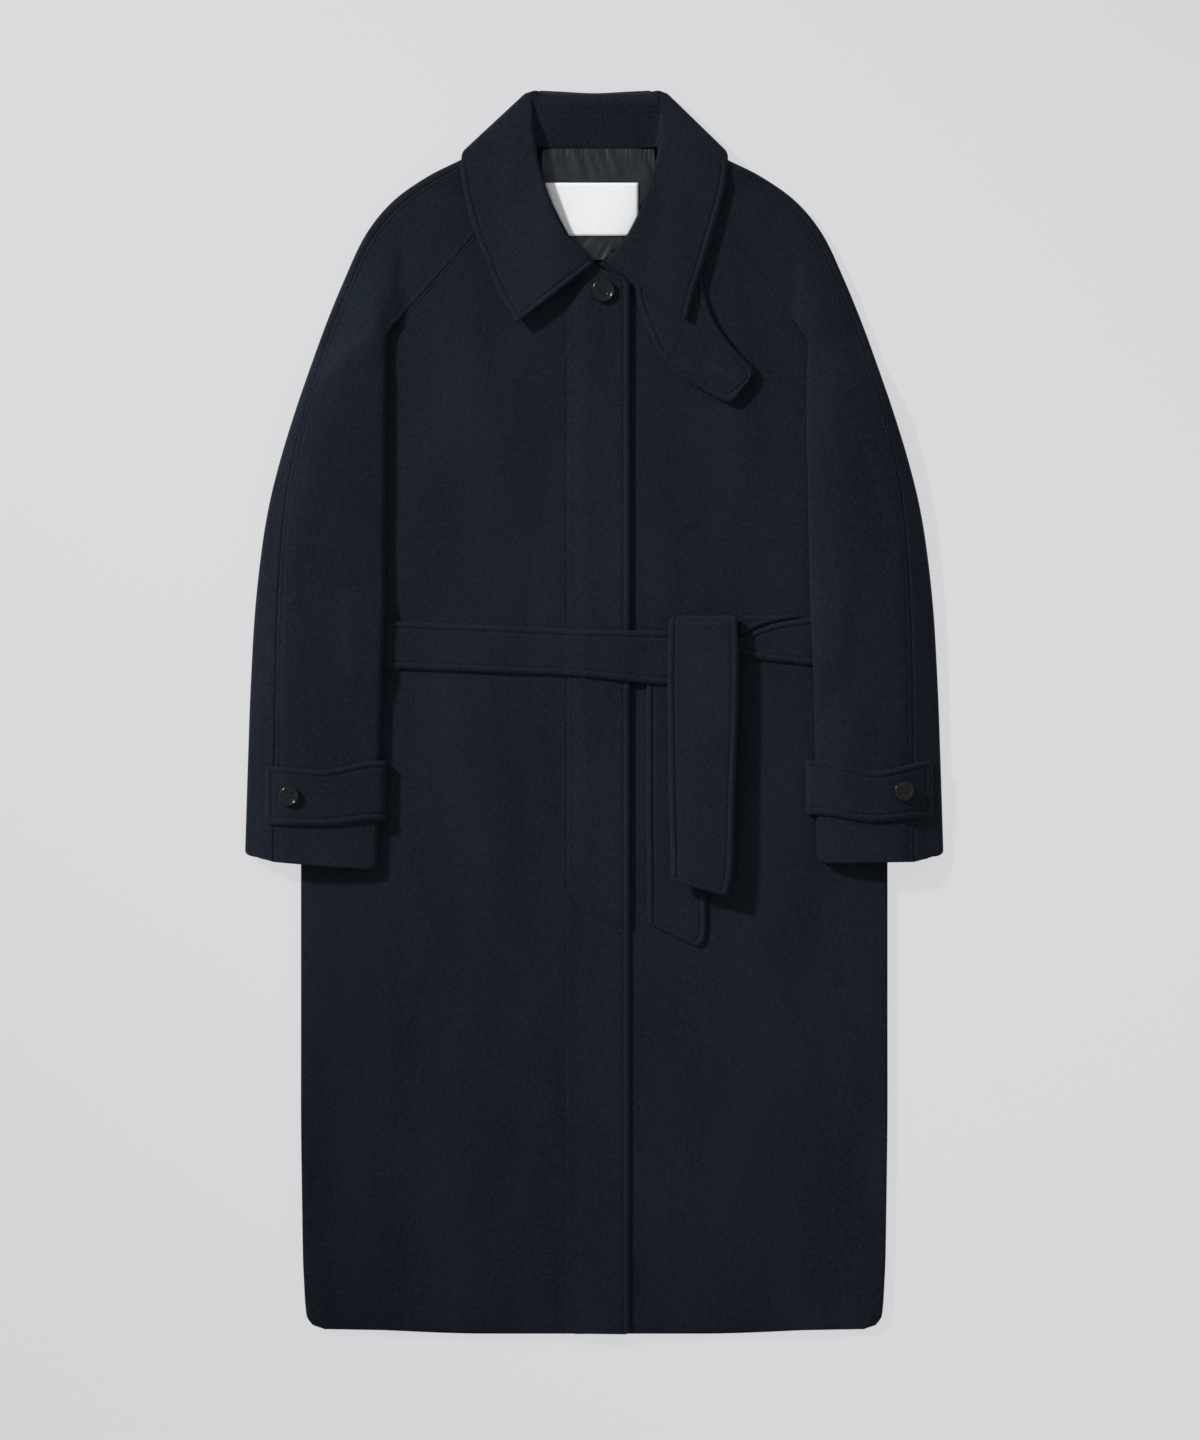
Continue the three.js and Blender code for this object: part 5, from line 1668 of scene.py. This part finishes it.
made = {"back": back()}
for side in ("right", "left"):
    made[f"front_{side}"] = front(side)
    made[f"sleeve_{side}_front"] = sleeve_front(side)
    made[f"sleeve_{side}_back"] = sleeve_back(side)
    made[f"cuff_tab_{side}"] = cuff_tab(side)
    x, y = CUFF_BUTTON[side]
    reach = CUFF_BUTTON_RADIUS
    left_z, middle_z, right_z = (tab_top(side, x + step, y) for step in (-reach, 0, reach))
    tilt = math.atan2(right_z - left_z, 2 * reach)
    seat = max((right_z + left_z) / 2, middle_z) + BUTTON_REST
    made[f"button_cuff_{side}"] = button(f"button_cuff_{side}", x, y, seat, CUFF_BUTTON_RADIUS, -tilt)
fly_stitching()
made["collar_fall"] = collar_fall()
made["collar_stand"] = collar_stand()
made["throat_tab"] = strip("throat_tab", THROAT_TAB, throat_tab_floor, 14, 40, end="turned", corner=7.0)
made["belt_right"] = strip("belt_right", BELT_RIGHT, belt_right_floor, 8, 90)
made["belt_left"] = strip("belt_left", BELT_LEFT, on_left_front, 8, 36)
made["belt_knot"] = strip("belt_knot", BELT_KNOT, on_left_front, 6, 24)
made["belt_end_rear"] = strip("belt_end_rear", BELT_END_REAR, on_left_front, 10, 60, end="turned")
made["belt_end_front"] = belt_end_front()
neck_x, neck_y = NECK_BUTTON
neck_z = right_front_top(neck_x, neck_y) + BUTTON_REST
made["button_neck"] = button("button_neck", neck_x, neck_y, neck_z, NECK_BUTTON_RADIUS, 0)
made["lining_back"] = lining_back()
made["label"] = label()
sewn_stitches()
buttonhole(TAB_HOLE_START, TAB_HOLE_END, throat_tab_top)


# The cut of each piece of cloth
def outline_area(rows):
    """The flat area in square metres of a cut given by the two ends of its rows."""
    outline = [a for a, _ in rows] + [b for _, b in reversed(rows)]
    twice = sum(p.x * q.y - q.x * p.y for p, q in zip(outline, outline[1:] + outline[:1]))
    return abs(twice) / 2 * MM * MM


def strip_area(rows):
    return outline_area([long_edges(row) for row in rows])


def sleeve_area(side, *ends):
    """The flat area of one half of a sleeve between the named lines of its rows."""
    rows = [sleeve_row(side, row) for row in SLEEVE_ROWS]
    return sum(outline_area([(row[a], row[b]) for row in rows]) for a, b in zip(ends, ends[1:]))


back_rows = [(Vector((-BACK_NECK_HALF, NECK_SEAM_Y)), Vector((BACK_NECK_HALF, NECK_SEAM_Y)))]
for one, other in zip(SEAMS["right"], SEAMS["left"]):
    back_rows.append((plan(-1, one["out"], one["y"]), plan(1, other["out"], other["y"])))
back_rows += [(plan(-1, row["half"], row["y"]), plan(1, row["half"], row["y"])) for row in SIDE]
for side, width, under in (("right", 329, "front_left"), ("left", 312, "back")):
    outline_area([front_ends(side, row) for row in FRONT_ROWS])
    sleeve_area(side, "seam", "inner")
    sleeve_area(side, "seam", "fold", "inner")
strip_area(THROAT_TAB)
strip_area(BELT_RIGHT)
strip_area(BELT_LEFT)
strip_area(BELT_KNOT)
strip_area(BELT_END_REAR)
TURN_OVER_BELT = 0.0014
end_area = strip_area(BELT_END_FRONT) + TURN_OVER_BELT

for node, obj in made.items():
    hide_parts(node)

# Floor, camera and light
FLOOR_HALF = 4.0
FLOOR_DROP = 0.0004
bm = bmesh.new()
bmesh.ops.create_grid(bm, x_segments=2, y_segments=2, size=FLOOR_HALF)
bmesh.ops.translate(bm, verts=list(bm.verts), vec=(0, 0, -FLOOR_DROP))
floor = linked("floor", mesh_of("floor", bm))
FLOOR_COLOUR = (0.716, 0.716, 0.732)
FLOOR_GLOW = 0.85
floor_material, _, floor_shader = blank_material("pale floor")
set_inputs(floor_shader, {"Base Color": (*[(1 - FLOOR_GLOW) * c for c in FLOOR_COLOUR], 1)})
set_inputs(floor_shader, {"Emission Color": (*FLOOR_COLOUR, 1), "Emission Strength": FLOOR_GLOW})
set_inputs(floor_shader, {"Roughness": 0.9, "Specular IOR Level": 0.0})
floor.data.materials.append(floor_material)

IMAGE_CENTRE = (5.75 * MM, -7.5 * MM)
CAMERA_HEIGHT = 6.0
SENSOR = 36.0
VIEW_LENGTH = 1.44
camera_data = bpy.data.cameras.new("camera")
camera_data.sensor_width = SENSOR
camera_data.lens = SENSOR * CAMERA_HEIGHT / VIEW_LENGTH
camera = linked("camera", camera_data)
camera.location = (*IMAGE_CENTRE, CAMERA_HEIGHT)
bpy.context.scene.camera = camera


KEY_LIGHT = {"elevation": 30.8, "azimuth": 143.5, "distance": 7.0, "radius": 0.32, "power": 1850, "cone": 17}
KEY_AIM = Vector((0.0, 0.16, 0.0))


def key_light():
    """A round studio lamp with a soft-edged beam. Azimuth is where it stands, from +x toward +y."""
    data = bpy.data.lights.new("key light", "SPOT")
    data.energy = KEY_LIGHT["power"]
    data.shadow_soft_size = KEY_LIGHT["radius"]
    data.spot_size = math.radians(KEY_LIGHT["cone"])
    data.spot_blend = 1.0
    light = linked("key light", data)
    up = math.radians(KEY_LIGHT["elevation"])
    around = math.radians(KEY_LIGHT["azimuth"])
    level = math.cos(up)
    toward = Vector((level * math.cos(around), level * math.sin(around), math.sin(up)))
    light.location = toward * KEY_LIGHT["distance"]
    light.rotation_euler = (light.location - KEY_AIM).to_track_quat("Z", "Y").to_euler()


key_light()
world = bpy.data.worlds.new("studio")
world.use_nodes = True
world.node_tree.nodes["Background"].inputs["Color"].default_value = (0.95, 0.97, 1.0, 1)
world.node_tree.nodes["Background"].inputs["Strength"].default_value = 0.42
bpy.context.scene.world = world
bpy.context.scene.view_settings.view_transform = "Standard"
